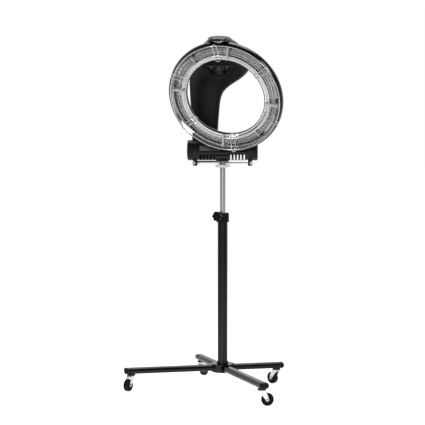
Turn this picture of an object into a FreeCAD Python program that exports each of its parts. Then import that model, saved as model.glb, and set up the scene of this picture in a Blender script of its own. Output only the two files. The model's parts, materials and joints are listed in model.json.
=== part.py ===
import FreeCAD, Part
import math
import os
from FreeCAD import Vector

# Hair color processor, in millimetres. The origin is on the floor under the column axis,
# +Z is up, the heater ring and the client are at -Y, and +X is the right of someone facing it.

# ---- driving dimensions: base and casters ----
wheel_radius = 25.0
wheel_width = 19.0
wheel_hub_radius = 9.0
wheel_dish_radius = 17.0
wheel_dish_depth = 3.2
wheel_round = 3.2
axle_radius = 3.5
axle_head_radius = 6.0
caster_trail = 22.0
fork_plate = 2.0
fork_side_gap = 1.2
fork_neck_radius = 15.0
fork_eye_radius = 7.0
fork_bridge = 6.0
race_radius = 17.0
race_height = 5.0
race_rise = 62.0
stem_radius = 5.5
stem_head_height = 2.5
stem_inboard = 30.0
leg_width = 40.0
leg_height = 25.0
leg_wall = 2.0
leg_rise = 81.0
leg_root = 31.0
long_reach = 415.0
short_reach = 263.0
cap_length = 14.0
cap_round = 8.0
side_beam_angle = 195.0
front_beam_angle = 296.5
hub_radius = 45.0
hub_sleeve_reach = 48.0
hub_sleeve_wall = 4.5
hub_lip_radius = 24.5
hub_lip_height = 9.0
spigot_height = 26.0
tie_bolt_radius = 5.0
tie_head_radius = 9.0
tie_head_height = 5.0
tie_bolt_short = 6.0
caster_turns = {"left": 243.5, "front": 2.0, "right": 138.5, "back": 60.0}

# ---- driving dimensions: column, collar and rod ----
column_radius = 21.0
column_wall = 2.0
column_top = 705.0
collar_radius = 27.0
collar_grip = 14.0
collar_above = 24.0
collar_round = 3.0
collar_boss_radius = 11.0
collar_boss_reach = 36.0
stud_drop = 12.0
stud_radius = 4.0
stud_angle = 244.0
knob_radius = 21.0
knob_thickness = 16.0
knob_lobes = 6
knob_lobe_radius = 6.5
knob_stud_depth = 11.0
bush_reach = 65.0
rod_radius = 12.5
rod_wall = 1.5
rod_bottom = 470.0
rod_top = 917.0
glide_height = 30.0
glide_overlap = 14.0
flange_radius = 30.0
flange_height = 11.0
flange_round = 3.0
flange_plug_depth = 30.0
pivot_radius = 9.0
pivot_height = 15.0
post_radius = 14.0
post_height = 14.0

# ---- driving dimensions: head unit ----
unit_rise = 988.0
unit_radius = 42.0
unit_wall = 3.5
unit_half_length = 100.0
end_collar_length = 22.0
end_collar_radius = 40.0
end_plate = 4.0
end_knob_length = 23.0
end_knob_round = 6.0
end_knob_grooves = 24
end_knob_groove_radius = 1.6
end_stud_radius = 5.0
saddle_width = 53.0
saddle_wall = 5.0
saddle_front_angle = 210.0
saddle_back_angle = 395.0
slot_count = 14
slot_pitch = 13.75
slot_width = 8.0
slot_bottom = 949.0
slot_top = 970.0
shelf_thickness = 3.0
shelf_front = -20.0
panel_tilt = 12.0
panel_length = 192.0
panel_height = 27.0
panel_depth = 5.0
panel_face = 41.5
window_length = 84.0
window_border = 3.0
window_thickness = 2.0
board_thickness = 1.6
board_gap = 8.0
board_boss_radius = 3.0
button_radius = 5.0
button_places = {"start_button": 22.0, "timer_button": 44.0}
button_proud = 1.5
button_travel = 2.0
button_flange = 1.2
rocker_place = 72.0
rocker_length = 20.0
rocker_height = 13.0
rocker_sink = 5.0
rocker_proud = 1.0
rocker_gap = 1.0
rocker_pin_radius = 1.5
rocker_ear_gap = 0.5
rocker_ear_thickness = 3.0
rocker_ear_height = 8.0
rocker_ear_depth = 7.0
module_length = 62.0
module_depth = 30.0
module_height = 26.0
module_place = 20.0
module_setback = 6.0
inlet_place = 62.0
inlet_length = 28.0
inlet_height = 21.0
inlet_depth = 14.0
inlet_proud = 1.5
inlet_floor = 2.0
inlet_rim = 3.0
inlet_pin_pitch = 7.0
inlet_pin_width = 2.0
inlet_pin_height = 4.0
handle_radius = 7.0
handle_half_width = 119.0
handle_rise = 935.0
handle_back = 80.0
handle_front = -14.0
handle_corner = 22.0
mount_width = 17.0
mount_depth = 30.0
mount_wall = 4.0

# ---- driving dimensions: ring orbit ----
head_forward = 270.0
head_rise = 1159.0
orbit_radius = 220.5
ring_mean_radius = 199.0
ring_turn = 76.2
rim_depth = 80.0
ring_outer_radius = 235.0
ring_lip_radius = 228.0
ring_lip_depth = 1.5
ring_inner_radius = 159.5
ring_bulge_depth = 18.0
ring_shoulder_radius = 216.0
ring_shoulder_depth = 40.7
ring_back_outer = 200.0
ring_back_inner = 176.0
ring_back_depth = 46.0
ring_inner_lip_depth = 14.0
ring_inner_side_out = 4.0
ring_inner_side_rise = 11.0
ring_edge_share = 0.4
ring_wall = 2.5
reflector_sheet = 1.6
# Front face of the reflector, from its outer lip inward: radius, and depth behind the rim's plane.
reflector_slope = [(207.0, 26.0), (201.0, 33.0), (187.0, 33.0), (182.0, 26.0)]
reflector_rib = [(180.5, 9.0), (177.5, 9.0), (174.0, 19.0), (165.5, 13.5)]
reflector_lip_width = 3.0
heater_radius = 194.0
heater_spacing = 10.0
heater_tube_radius = 4.0
heater_bore_radius = 2.9
heater_coil_radius = 2.6
heater_depth = 20.0
heater_count = 4
heater_phase = 10.0
heater_start_gap = 2.2
heater_end_gap = 5.0
heater_end_wall = 0.1
coil_end_gap = 0.3
holder_thickness = 7.0
support_thickness = 4.0
holder_front = 8.0
holder_inner = 163.0
holder_outer = 224.0
support_front = 12.0
support_inner = 184.0
support_outer = 205.0
guard_count = 6
guard_phase = 57.0
guard_wire_radius = 1.25
guard_spacing = 17.5
guard_outer_reach = 231.0
guard_inner_reach = 155.5
bracket_radius = 20.0
bracket_drop = 12.0
bracket_height = 17.0
slip_ring_radius = 15.0
slip_ring_height = 6.0
spindle_radius = 8.0
spindle_seat = 3.0
worm_wheel_radius = 16.0
worm_wheel_lift = 9.5
worm_wheel_height = 6.2
worm_wheel_teeth = 30
worm_tooth_depth = 0.9
worm_radius = 4.0
worm_half_length = 12.0
worm_grooves = 5
worm_groove_pitch = 4.0
worm_groove_width = 1.6
worm_groove_depth = 1.0
worm_journal_radius = 2.5
worm_journal_length = 6.0
worm_ear_thickness = 4.0
bearing_wall = 4.0
hub_gap = 0.8

# ---- driving dimensions: arm and hood ----
# Each station: back (y) and rise (z) of the middle of the arm, tilt of its thickness from +Y
# towards +Z, left and right edge, and thickness.
arm_foot = [
    (76.0, 946.0, 0.0, -131.0, -30.0, 52.0),
    (77.0, 1060.0, 0.0, -131.0, -25.0, 54.0),
    (72.0, 1150.0, 3.0, -134.5, -18.5, 52.0),
    (63.0, 1200.0, 9.0, -138.0, -12.0, 50.0),
]
hub_middle_radius = 269.0
# Each hood station: angle about the orbit centre, middle radius, left and right edge, thickness.
hood = [
    (14.0, 330.0, -139.0, 6.0, 50.0),
    (20.0, 325.0, -140.0, 48.0, 50.0),
    (26.0, 319.0, -139.5, 90.0, 50.0),
    (33.0, 311.0, -137.0, 112.0, 48.0),
    (45.0, 297.0, -122.0, 120.0, 42.0),
    (60.0, 284.0, -81.0, 81.0, 34.0),
    (75.0, 274.0, -51.0, 51.0, 25.0),
    (90.0, hub_middle_radius, -42.0, 42.0, 19.0),
    (100.0, 267.5, -34.0, 34.0, 15.0),
    (106.0, 266.5, -20.0, 20.0, 9.0),
]
arm_wall = 2.5
arm_seam = 0.15
section_points = 10
station_count = 25
outer_fullness = 2.4
inner_fullness = 4.0
frame_thickness = 2.2
frame_half_width = 16.0
frame_outset = 8.0
frame_start = 4.0
frame_nose = 20.0
frame_sink_start = 50.0
frame_sink_end = 85.0
tongue_middle = -80.0
tongue_width = 26.0
tongue_height = 10.0
tongue_front = 33.0
tongue_sleeve_wall = 4.0
recess_angle = 31.5
recess_place = -15.0
recess_tip_drop = 32.0
recess_rise = 30.0
recess_half_width = 62.0
recess_tip_radius = 14.0
recess_depth = 15.0
recess_wall = 2.5
recess_face = 287.0
dome_radius = 27.0
dome_height = 11.0
fin_count = 5
fin_pitch = 8.0
fin_thickness = 1.6
fin_height = 13.0
fin_reach = 15.0
motor_radius = 11.5
motor_length = 38.0
motor_neck = 6.0
motor_neck_radius = 5.0
motor_angle = 30.0
flex_radius = 3.0
flex_middle_angle = 62.0
flex_middle_radius = 283.0

# ---- clearances ----
slide_gap = 0.07
running_gap = 0.06
seat_gap = 0.2
free_gap = 0.3
join_tolerance = 0.01
overrun = 1.0

WORLD_X = Vector(1, 0, 0)
WORLD_Y = Vector(0, 1, 0)
WORLD_Z = Vector(0, 0, 1)


# ---- general helpers ----
def save(name, shape):
    shape.exportStep("parts/%s.step" % name)


def box(x0, x1, y0, y1, z0, z1):
    return Part.makeBox(x1 - x0, y1 - y0, z1 - z0, Vector(x0, y0, z0))


def rod(radius, start, direction, length):
    return Part.makeCylinder(radius, length, start, direction)


def upright(radius, bottom, top, x=0.0, y=0.0):
    return rod(radius, Vector(x, y, bottom), WORLD_Z, top - bottom)


def across(radius, x0, x1, y=0.0, z=unit_rise):
    return rod(radius, Vector(x0, y, z), WORLD_X, x1 - x0)


def flat(angle):
    """Level unit vector at an angle from +X towards +Y."""
    return Vector(math.cos(math.radians(angle)), math.sin(math.radians(angle)), 0)


def turned(shape, angle, axis=WORLD_Z, centre=Vector(0, 0, 0)):
    copy = shape.copy()
    copy.rotate(centre, axis, angle)
    return copy


def moved(shape, shift):
    copy = shape.copy()
    copy.translate(shift)
    return copy


def face_of(edges):
    return Part.Face(Part.Wire(edges))


def line(a, b):
    return Part.makeLine(a, b)


def arc(a, b, c):
    return Part.Arc(a, b, c).toShape()


def stadium(width, height, x0, x1, rise):
    """Bar of flat-oval section along +X, from x0 to x1, with its middle at height rise."""
    half = (width - height) / 2
    r = height / 2
    low = Vector(x0, -half, rise - r)
    edges = [
        line(low, Vector(x0, half, rise - r)),
        arc(Vector(x0, half, rise - r), Vector(x0, half + r, rise), Vector(x0, half, rise + r)),
        line(Vector(x0, half, rise + r), Vector(x0, -half, rise + r)),
        arc(Vector(x0, -half, rise + r), Vector(x0, -half - r, rise), low),
    ]
    return face_of(edges).extrude(Vector(x1 - x0, 0, 0))


def round_edges(shape, radius, chosen):
    edges = [e for e in shape.Edges if chosen(e)]
    return shape.makeFillet(radius, edges)


def is_circle(edge):
    return edge.Curve.TypeId == "Part::GeomCircle"


def span(side, a, b):
    """Low and high x of a stretch given by its distances from the middle on one side."""
    return min(side * a, side * b), max(side * a, side * b)


# ---- base ----
leg_angles = {
    "left": side_beam_angle,
    "front": front_beam_angle,
    "right": side_beam_angle - 180.0,
    "back": front_beam_angle - 180.0,
}
leg_reach = {"left": long_reach, "front": long_reach, "right": short_reach, "back": short_reach}
leg_top = leg_rise + leg_height / 2
leg_bottom = leg_rise - leg_height / 2
hub_top = leg_top + hub_sleeve_wall
hub_bottom = leg_bottom - hub_sleeve_wall
hub_seat = hub_top + hub_lip_height
column_bore = column_radius - column_wall
column_bottom = hub_top
stem_top = leg_top - leg_wall


def base_hub():
    body = upright(hub_radius, hub_bottom, hub_top)
    for angle in leg_angles.values():
        wide = leg_width + 2 * hub_sleeve_wall
        high = leg_height + 2 * hub_sleeve_wall
        body = body.fuse(turned(stadium(wide, high, 0, hub_sleeve_reach, leg_rise), angle))
    lip = upright(hub_lip_radius, hub_top, hub_seat)
    lip = lip.cut(upright(column_radius + seat_gap, hub_top, hub_seat))
    body = body.fuse(lip)
    body = body.fuse(upright(column_bore - seat_gap, hub_top, hub_top + spigot_height))
    for angle in leg_angles.values():
        wide = leg_width + 2 * seat_gap
        high = leg_height + 2 * seat_gap
        tunnel = stadium(wide, high, leg_root - seat_gap, 2 * hub_radius, leg_rise)
        body = body.cut(turned(tunnel, angle))
    body = body.cut(upright(tie_bolt_radius + seat_gap, hub_bottom, hub_top + spigot_height))
    return body.removeSplitter()


def leg(name):
    end = leg_reach[name] - cap_length
    bar = stadium(leg_width, leg_height, leg_root, end, leg_rise)
    bore = stadium(leg_width - 2 * leg_wall, leg_height - 2 * leg_wall, leg_root, end, leg_rise)
    x = leg_reach[name] - stem_inboard
    hole = upright(stem_radius + seat_gap, leg_bottom, leg_rise, x)
    return turned(bar.cut(bore).cut(hole), leg_angles[name])


def leg_cap(name):
    reach = leg_reach[name]
    head = stadium(leg_width, leg_height, reach - cap_length, reach, leg_rise)
    head = round_edges(head, cap_round, lambda e: e.BoundBox.XMin > reach - cap_length / 2)
    inset = 2 * (leg_wall + seat_gap)
    plug_start = reach - cap_length - cap_length / 2
    plug = stadium(leg_width - inset, leg_height - inset, plug_start, reach - cap_length, leg_rise)
    return turned(head.fuse(plug).removeSplitter(), leg_angles[name])


def caster_point(name, height=0.0):
    return flat(leg_angles[name]) * (leg_reach[name] - stem_inboard) + Vector(0, 0, height)


fork_top = race_rise + race_height
fork_half = wheel_width / 2 + fork_side_gap


def caster_stem(name):
    """Stem pressed into the leg, with a shoulder above the fork and a head below its bridge."""
    centre = caster_point(name)
    bridge_bottom = race_rise - fork_bridge
    stem = upright(stem_radius, bridge_bottom - free_gap, stem_top, centre.x, centre.y)
    shoulder_bottom = fork_top + free_gap
    shoulder = upright(race_radius - 3 * fork_plate, shoulder_bottom, leg_bottom, centre.x, centre.y)
    head_top = bridge_bottom - free_gap
    head = upright(stem_radius + fork_plate, head_top - stem_head_height, head_top, centre.x, centre.y)
    return stem.fuse(shoulder).fuse(head).removeSplitter()


def caster_fork(name):
    """Zinc fork with its dark race on top; modelled with the trail along +X, then turned."""
    outer = fork_half + fork_plate
    bridge_bottom = race_rise - fork_bridge
    neck_back = Vector(-fork_neck_radius, -outer, race_rise)
    neck_front = Vector(fork_neck_radius, -outer, race_rise)
    eye_front = Vector(caster_trail + fork_eye_radius, -outer, wheel_radius)
    eye_low = Vector(caster_trail, -outer, wheel_radius - fork_eye_radius)
    eye_back = Vector(caster_trail - fork_eye_radius, -outer, wheel_radius)
    edges = [
        line(neck_back, neck_front),
        line(neck_front, eye_front),
        arc(eye_front, eye_low, eye_back),
        line(eye_back, neck_back),
    ]
    fork = face_of(edges).extrude(Vector(0, 2 * outer, 0))
    fork = fork.common(upright(3 * fork_neck_radius, 0, race_rise))
    slot = box(-2 * fork_neck_radius, 3 * caster_trail, -fork_half, fork_half, 0, bridge_bottom)
    fork = fork.cut(slot)
    fork = fork.fuse(upright(fork_neck_radius, bridge_bottom, race_rise))
    fork = fork.fuse(upright(race_radius, race_rise, fork_top))
    fork = fork.cut(upright(stem_radius + running_gap, 0, fork_top))
    axle_line = Vector(caster_trail, -2 * outer, wheel_radius)
    fork = fork.cut(rod(axle_radius, axle_line, WORLD_Y, 4 * outer))
    return placed_caster(fork.removeSplitter(), name)


def caster_axle(name):
    outer = fork_half + fork_plate
    pin = rod(axle_radius, Vector(caster_trail, -outer, wheel_radius), WORLD_Y, 2 * outer)
    for side in (-1, 1):
        start = Vector(caster_trail, side * outer, wheel_radius)
        pin = pin.fuse(rod(axle_head_radius, start, WORLD_Y * side, fork_plate))
    return placed_caster(pin.removeSplitter(), name)


def caster_wheel(name):
    half = wheel_width / 2
    tread = rod(wheel_radius, Vector(caster_trail, -half, wheel_radius), WORLD_Y, wheel_width)
    tread = round_edges(tread, wheel_round, is_circle)
    for side in (-1, 1):
        start = Vector(caster_trail, side * (half - wheel_dish_depth), wheel_radius)
        dish = rod(wheel_dish_radius, start, WORLD_Y * side, wheel_dish_depth)
        tread = tread.cut(dish.cut(rod(wheel_hub_radius, start, WORLD_Y * side, wheel_dish_depth)))
    bore = rod(axle_radius + running_gap, Vector(caster_trail, -half, wheel_radius), WORLD_Y, wheel_width)
    return placed_caster(tread.cut(bore), name)


def placed_caster(shape, name):
    return moved(turned(shape, caster_turns[name]), caster_point(name))


def tie_bolt():
    head_bottom = hub_bottom - tie_head_height
    shank = upright(tie_bolt_radius, head_bottom, hub_top + spigot_height - tie_bolt_short)
    head = upright(tie_head_radius, head_bottom, hub_bottom)
    return shank.fuse(head).removeSplitter()


# ---- column, collar and rod ----
rod_bush_radius = rod_radius + slide_gap
collar_bottom = column_top - collar_grip
collar_top = column_top + collar_above
stud_rise = collar_top - stud_drop
bush_bottom = column_top - bush_reach
knob_start = collar_boss_reach + free_gap


def column_tube():
    outer = upright(column_radius, column_bottom, column_top)
    return outer.cut(upright(column_bore, column_bottom, column_top))


def along_stud(radius, start, end):
    direction = flat(stud_angle)
    return rod(radius, direction * start + Vector(0, 0, stud_rise), direction, end - start)


def height_collar():
    body = upright(collar_radius, collar_bottom, collar_top)
    body = round_edges(body, collar_round, lambda e: e.BoundBox.ZMin > stud_rise)
    body = body.fuse(along_stud(collar_boss_radius, 0, collar_boss_reach))
    body = body.cut(upright(column_radius + seat_gap, collar_bottom, column_top + seat_gap))
    body = body.cut(upright(column_bore + seat_gap, column_top, collar_top))
    body = body.cut(along_stud(stud_radius + running_gap, 0, 2 * collar_radius))
    return body.removeSplitter()


def collar_bush():
    body = upright(column_bore - seat_gap, bush_bottom, collar_top - seat_gap)
    body = body.cut(upright(rod_bush_radius, bush_bottom, collar_top))
    return body.cut(along_stud(stud_radius + free_gap, 0, column_radius))


def height_knob():
    end = knob_start + knob_thickness
    body = along_stud(knob_radius - knob_lobe_radius / 2, knob_start, end)
    side = flat(stud_angle + 90)
    for i in range(knob_lobes):
        turn = 2 * math.pi * i / knob_lobes
        offset = side * math.cos(turn) + WORLD_Z * math.sin(turn)
        offset = offset * (knob_radius - knob_lobe_radius)
        body = body.fuse(moved(along_stud(knob_lobe_radius, knob_start, end), offset))
    body = body.cut(along_stud(stud_radius, knob_start, knob_start + knob_stud_depth))
    return body.removeSplitter()


def knob_stud():
    tip = rod_radius + free_gap
    return along_stud(stud_radius, tip, knob_start + knob_stud_depth)


def rod_tube():
    outer = upright(rod_radius, rod_bottom, rod_top)
    return outer.cut(upright(rod_radius - rod_wall, rod_bottom, rod_top))


def rod_glide():
    bottom = rod_bottom + glide_overlap - glide_height
    body = upright(column_bore - slide_gap, bottom, rod_bottom + glide_overlap)
    body = body.cut(upright(rod_radius + seat_gap, rod_bottom, rod_bottom + glide_overlap))
    peg = upright(rod_radius - rod_wall - seat_gap, rod_bottom, rod_bottom + glide_overlap)
    return body.fuse(peg).removeSplitter()


flange_top = rod_top + flange_height


def rod_flange():
    """Flange disc on top of the rod, with a plug below and the pivot pin of the head above."""
    disc = upright(flange_radius, rod_top, flange_top)
    disc = round_edges(disc, flange_round, is_circle)
    plug = upright(rod_radius - rod_wall - seat_gap, rod_top - flange_plug_depth, rod_top)
    pin = upright(pivot_radius, flange_top, flange_top + pivot_height)
    return disc.fuse(plug).fuse(pin).removeSplitter()


# ---- head unit ----
saddle_bore = unit_radius + running_gap
saddle_outer = saddle_bore + saddle_wall
unit_bore = unit_radius - unit_wall
post_bottom = flange_top + free_gap
post_top = post_bottom + post_height
pocket_top = flange_top + pivot_height + free_gap


def swivel_post():
    """Round foot that turns on the pivot pin and carries the saddle."""
    body = upright(post_radius, post_bottom, post_top)
    body = body.cut(upright(pivot_radius + running_gap, post_bottom, pocket_top))
    return body.cut(across(saddle_outer, -saddle_width, saddle_width))


def tilt_saddle():
    """Open cradle that clasps the unit from low at the front, round below, to the back."""
    half = saddle_width / 2

    def rim(radius, angle):
        a = math.radians(angle)
        return Vector(-half, radius * math.cos(a), unit_rise + radius * math.sin(a))

    middle = (saddle_front_angle + saddle_back_angle) / 2
    angles = (saddle_front_angle, middle, saddle_back_angle)
    inner = [rim(saddle_bore, angle) for angle in angles]
    outer = [rim(saddle_outer, angle) for angle in angles]
    edges = [arc(*inner), line(inner[-1], outer[-1]), arc(*outer), line(outer[0], inner[0])]
    band = face_of(edges).extrude(Vector(saddle_width, 0, 0))
    block = box(-half, half, -post_radius, post_radius, post_top, unit_rise)
    block = block.cut(across(saddle_bore, -half, half))
    body = band.fuse(block)
    return body.cut(upright(pivot_radius + free_gap, post_bottom, pocket_top)).removeSplitter()


def on_panel(shape):
    """Turn a shape, made for a panel that faces -Y at the unit's axis height, up to the panel's tilt."""
    return turned(shape, -panel_tilt, WORLD_X, Vector(0, 0, unit_rise))


def panel_box(x0, x1, low, high, back, front):
    """Box on the panel: low and high from its middle line, back and front as distance from the axis."""
    return on_panel(box(x0, x1, -front, -back, unit_rise + low, unit_rise + high))


def panel_rod(radius, x, back, front):
    return on_panel(rod(radius, Vector(x, -back, unit_rise), -WORLD_Y, front - back))


panel_back = panel_face - panel_depth
panel_half = panel_length / 2
board_face = panel_back - board_gap
inlet_middle = unit_rise + inlet_height / 2 - (unit_rise - slot_top) + 2 * shelf_thickness


def unit_slots():
    first = -slot_pitch * (slot_count - 1) / 2
    cuts = []
    for i in range(slot_count):
        x = first + i * slot_pitch
        half = slot_width / 2
        cuts.append(box(x - half, x + half, -2 * unit_radius, 2 * unit_radius, slot_bottom, slot_top))
    return cuts


def inlet_box(gap, front, back):
    left = inlet_place - inlet_length / 2 - gap
    right = inlet_place + inlet_length / 2 + gap
    half_z = inlet_height / 2 + gap
    return box(left, right, front, back, inlet_middle - half_z, inlet_middle + half_z)


def tongue_box(gap, front, back):
    """Level bar that joins the arm's frame to the unit."""
    half_x = tongue_width / 2 + gap
    half_z = tongue_height / 2 + gap
    left = tongue_middle - half_x
    right = tongue_middle + half_x
    return box(left, right, front, back, unit_rise - half_z, unit_rise + half_z)


arm_face = arm_foot[0][0] - arm_foot[0][-1] / 2


def unit_housing():
    end = unit_half_length
    body = across(unit_radius, -end, end)
    body = body.cut(across(unit_bore, -end, end))
    body = body.fuse(tongue_box(tongue_sleeve_wall, unit_bore, arm_face - seat_gap))
    body = body.cut(tongue_box(seat_gap, 0, arm_face))
    shelf_bottom = slot_top + shelf_thickness / 2
    shelf = box(-end, end, shelf_front, unit_radius, shelf_bottom, shelf_bottom + shelf_thickness)
    body = body.fuse(shelf.common(across(unit_bore + unit_wall / 2, -end, end)))
    for cut in unit_slots():
        body = body.cut(cut)
    half_height = panel_height / 2 + seat_gap
    reach = panel_half + seat_gap
    behind = panel_back - seat_gap
    body = body.cut(panel_box(-reach, reach, -half_height, half_height, behind, 2 * unit_radius))
    return body.cut(inlet_box(seat_gap, 0, 2 * unit_radius)).removeSplitter()


def rocker_box(gap, back, front):
    left = rocker_place - rocker_length / 2 - gap
    right = rocker_place + rocker_length / 2 + gap
    half_z = rocker_height / 2 + gap
    return panel_box(left, right, -half_z, half_z, back, front)


window_left = -panel_half + window_border
window_right = window_left + window_length


def panel_bezel():
    half_height = panel_height / 2
    body = panel_box(-panel_half, panel_half, -half_height, half_height, panel_back, panel_face)
    pane = half_height - window_border + seat_gap
    left = window_left - seat_gap
    right = window_right + seat_gap
    body = body.cut(panel_box(left, right, -pane, pane, panel_face - window_thickness - seat_gap, panel_face))
    sight = pane - window_border
    body = body.cut(panel_box(left + window_border, right - window_border, -sight, sight, 0, panel_face))
    for place in button_places.values():
        body = body.cut(panel_rod(button_radius + free_gap, place, panel_back, panel_face))
    body = body.cut(rocker_box(rocker_gap, panel_back, panel_face))
    for x in (-panel_half + 2 * board_boss_radius, 0.0, panel_half - 2 * board_boss_radius):
        body = body.fuse(panel_rod(board_boss_radius, x, board_face, panel_back))
    ear_start = rocker_length / 2 + rocker_ear_gap
    ear_half = rocker_ear_height / 2
    for side in (-1, 1):
        low, high = span(side, ear_start, ear_start + rocker_ear_thickness)
        left = rocker_place + low
        right = rocker_place + high
        ear = panel_box(left, right, -ear_half, ear_half, panel_back - rocker_ear_depth, panel_back)
        body = body.fuse(ear)
    start = rocker_axis() - WORLD_X * rocker_length
    pin = rod(rocker_pin_radius + running_gap, start, WORLD_X, 2 * rocker_length)
    return body.cut(pin).removeSplitter()


def rocker_axis():
    a = math.radians(panel_tilt)
    r = panel_back - rocker_ear_depth / 2
    return Vector(rocker_place, -r * math.cos(a), unit_rise + r * math.sin(a))


def display_window():
    half = panel_height / 2 - window_border
    return panel_box(window_left, window_right, -half, half, panel_face - window_thickness, panel_face)


def circuit_board():
    half = panel_height / 2 - window_border
    reach = panel_half - board_thickness
    return panel_box(-reach, reach, -half, half, board_face - board_thickness, board_face)


def push_button(place):
    """Cap through the panel, flange behind it, and a stem that stops short of the board."""
    cap = panel_rod(button_radius, place, panel_back - free_gap, panel_face + button_proud)
    back = panel_back - free_gap
    flange = panel_rod(button_radius + 2 * button_flange, place, back - button_flange, back)
    stem = panel_rod(button_radius / 2, place, board_face + button_travel + free_gap, back)
    return cap.fuse(flange).fuse(stem).removeSplitter()


def power_rocker():
    body = rocker_box(0, panel_back - rocker_sink, panel_face + rocker_proud)
    pin_length = rocker_length + 2 * (rocker_ear_gap + rocker_ear_thickness)
    pin = rod(rocker_pin_radius, rocker_axis() - WORLD_X * (pin_length / 2), WORLD_X, pin_length)
    return body.fuse(pin).removeSplitter()


def power_module():
    bottom = slot_top + 1.5 * shelf_thickness + seat_gap
    front = shelf_front + module_setback
    left = -module_place - module_length
    return box(left, -module_place, front, front + module_depth, bottom, bottom + module_height)


def power_inlet():
    back = unit_radius + inlet_proud
    front = back - inlet_depth
    well = front + inlet_floor
    body = inlet_box(0, front, back).cut(inlet_box(-inlet_rim, well, back))
    half_x = inlet_pin_width / 2
    low = inlet_middle - inlet_pin_height / 2
    high = inlet_middle + inlet_pin_height / 2
    for i in (-1, 0, 1):
        x = inlet_place + i * inlet_pin_pitch
        body = body.fuse(box(x - half_x, x + half_x, well, unit_radius, low, high))
    return body.removeSplitter()


def end_collar(side):
    """Stepped collar that closes the unit, carries the end knob's stud and clasps the handle."""
    start = unit_half_length
    end = unit_half_length + end_collar_length
    spigot_start = start - end_plate
    bore = end_collar_radius - unit_wall
    body = across(end_collar_radius, *span(side, start, end))
    body = body.cut(across(bore, *span(side, start, end - end_plate)))
    step = across(end_collar_radius, *span(side, start, start + unit_wall))
    spigot = across(unit_bore - seat_gap, *span(side, spigot_start, start))
    spigot = spigot.cut(panel_box(-end, end, -panel_half, panel_half, board_face, panel_face))
    spigot = spigot.cut(box(-end, end, -panel_half, panel_half, slot_top, unit_rise))
    rim = step.fuse(spigot).cut(across(unit_bore - unit_wall, *span(side, spigot_start, end)))
    low, high = span(side, end - mount_width, end)
    half = mount_depth / 2
    block_bottom = handle_rise - handle_radius - mount_wall
    block_top = unit_rise - end_collar_radius + unit_wall
    block = box(low, high, -half, half, block_bottom, block_top)
    block = block.cut(across(end_collar_radius - unit_wall / 2, low - overrun, high + overrun))
    body = body.fuse(rim).fuse(block)
    tube_start = Vector(side * handle_half_width, -2 * mount_depth, handle_rise)
    body = body.cut(rod(handle_radius, tube_start, WORLD_Y, 4 * mount_depth))
    body = body.cut(across(end_stud_radius + running_gap, *span(side, start - overrun, end + overrun)))
    return body.removeSplitter()


def end_knob(side):
    """Ribbed knob on the unit's end, with its stud and the nut that keeps it in the collar."""
    start = unit_half_length + end_collar_length + free_gap
    end = start + end_knob_length
    middle = (start + end) / 2
    body = across(unit_radius, *span(side, start, end))
    body = round_edges(body, end_knob_round, lambda e: is_circle(e) and abs(e.Curve.Center.x) > middle)
    groove = span(side, start + end_knob_round / 2, end)
    for i in range(end_knob_grooves):
        a = 2 * math.pi * i / end_knob_grooves
        y = unit_radius * math.cos(a)
        z = unit_rise + unit_radius * math.sin(a)
        body = body.cut(across(end_knob_groove_radius, *groove, y, z))
    stud = across(end_stud_radius, *span(side, unit_half_length - 2 * end_plate, start))
    nut_end = unit_half_length + end_collar_length - end_plate - free_gap
    nut = across(2 * end_stud_radius, *span(side, nut_end - end_plate, nut_end))
    return body.fuse(stud).fuse(nut).removeSplitter()


def handle_half(radius):
    """Solid of one half of the U handle, on the +X side."""
    corner = Vector(handle_half_width - handle_corner, handle_back - handle_corner, handle_rise)
    straight_end = handle_back - handle_corner
    start = Vector(handle_half_width, handle_front, handle_rise)
    side = rod(radius, start, WORLD_Y, straight_end - handle_front)
    bend = Part.makeTorus(handle_corner, radius, corner, WORLD_Z, -180, 180, 90)
    grip = rod(radius, Vector(0, handle_back, handle_rise), WORLD_X, handle_half_width - handle_corner)
    return side.fuse(bend).fuse(grip)


def handle_tube():
    half = handle_half(handle_radius)
    body = half.fuse(half.mirror(Vector(0, 0, 0), WORLD_X))
    return body.removeSplitter()


# ---- arm and hood ----
orbit_centre = Vector(0, -head_forward, head_rise)


def hood_point(angle, radius, x=0.0):
    a = math.radians(angle)
    return orbit_centre + Vector(x, radius * math.cos(a), radius * math.sin(a))


def key_stations():
    """The given stations as (back, rise, tilt, left, right, thickness), from the foot to the nose."""
    rows = list(arm_foot)
    for angle, radius, left, right, thick in hood:
        middle = hood_point(angle, radius)
        rows.append((middle.y, middle.z, angle, left, right, thick))
    return rows


def eased(places, values, place):
    """Value at a place on a smooth curve through the given values, without overshoot."""
    steps = [(values[i + 1] - values[i]) / (places[i + 1] - places[i]) for i in range(len(places) - 1)]
    slopes = [steps[0]]
    for a, b in zip(steps, steps[1:]):
        slopes.append(0.0 if a * b <= 0 else 2 * a * b / (a + b))
    slopes.append(steps[-1])
    i = 0
    while i < len(places) - 2 and place > places[i + 1]:
        i += 1
    span = places[i + 1] - places[i]
    t = (place - places[i]) / span
    start = (1 + 2 * t) * (1 - t) ** 2 * values[i] + t * (1 - t) ** 2 * span * slopes[i]
    end = t * t * (3 - 2 * t) * values[i + 1] + t * t * (t - 1) * span * slopes[i + 1]
    return start + end


def arm_stations():
    """Evenly spaced stations as (middle point, tilt, left, right, thickness)."""
    rows = key_stations()
    places = [0.0]
    for a, b in zip(rows, rows[1:]):
        places.append(places[-1] + math.hypot(b[0] - a[0], b[1] - a[1]))
    stations = []
    for i in range(station_count):
        place = places[-1] * i / (station_count - 1)
        y, z, tilt, left, right, thick = [eased(places, column, place) for column in zip(*rows)]
        stations.append((Vector(0, y, z), tilt, left, right, thick))
    return stations


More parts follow.
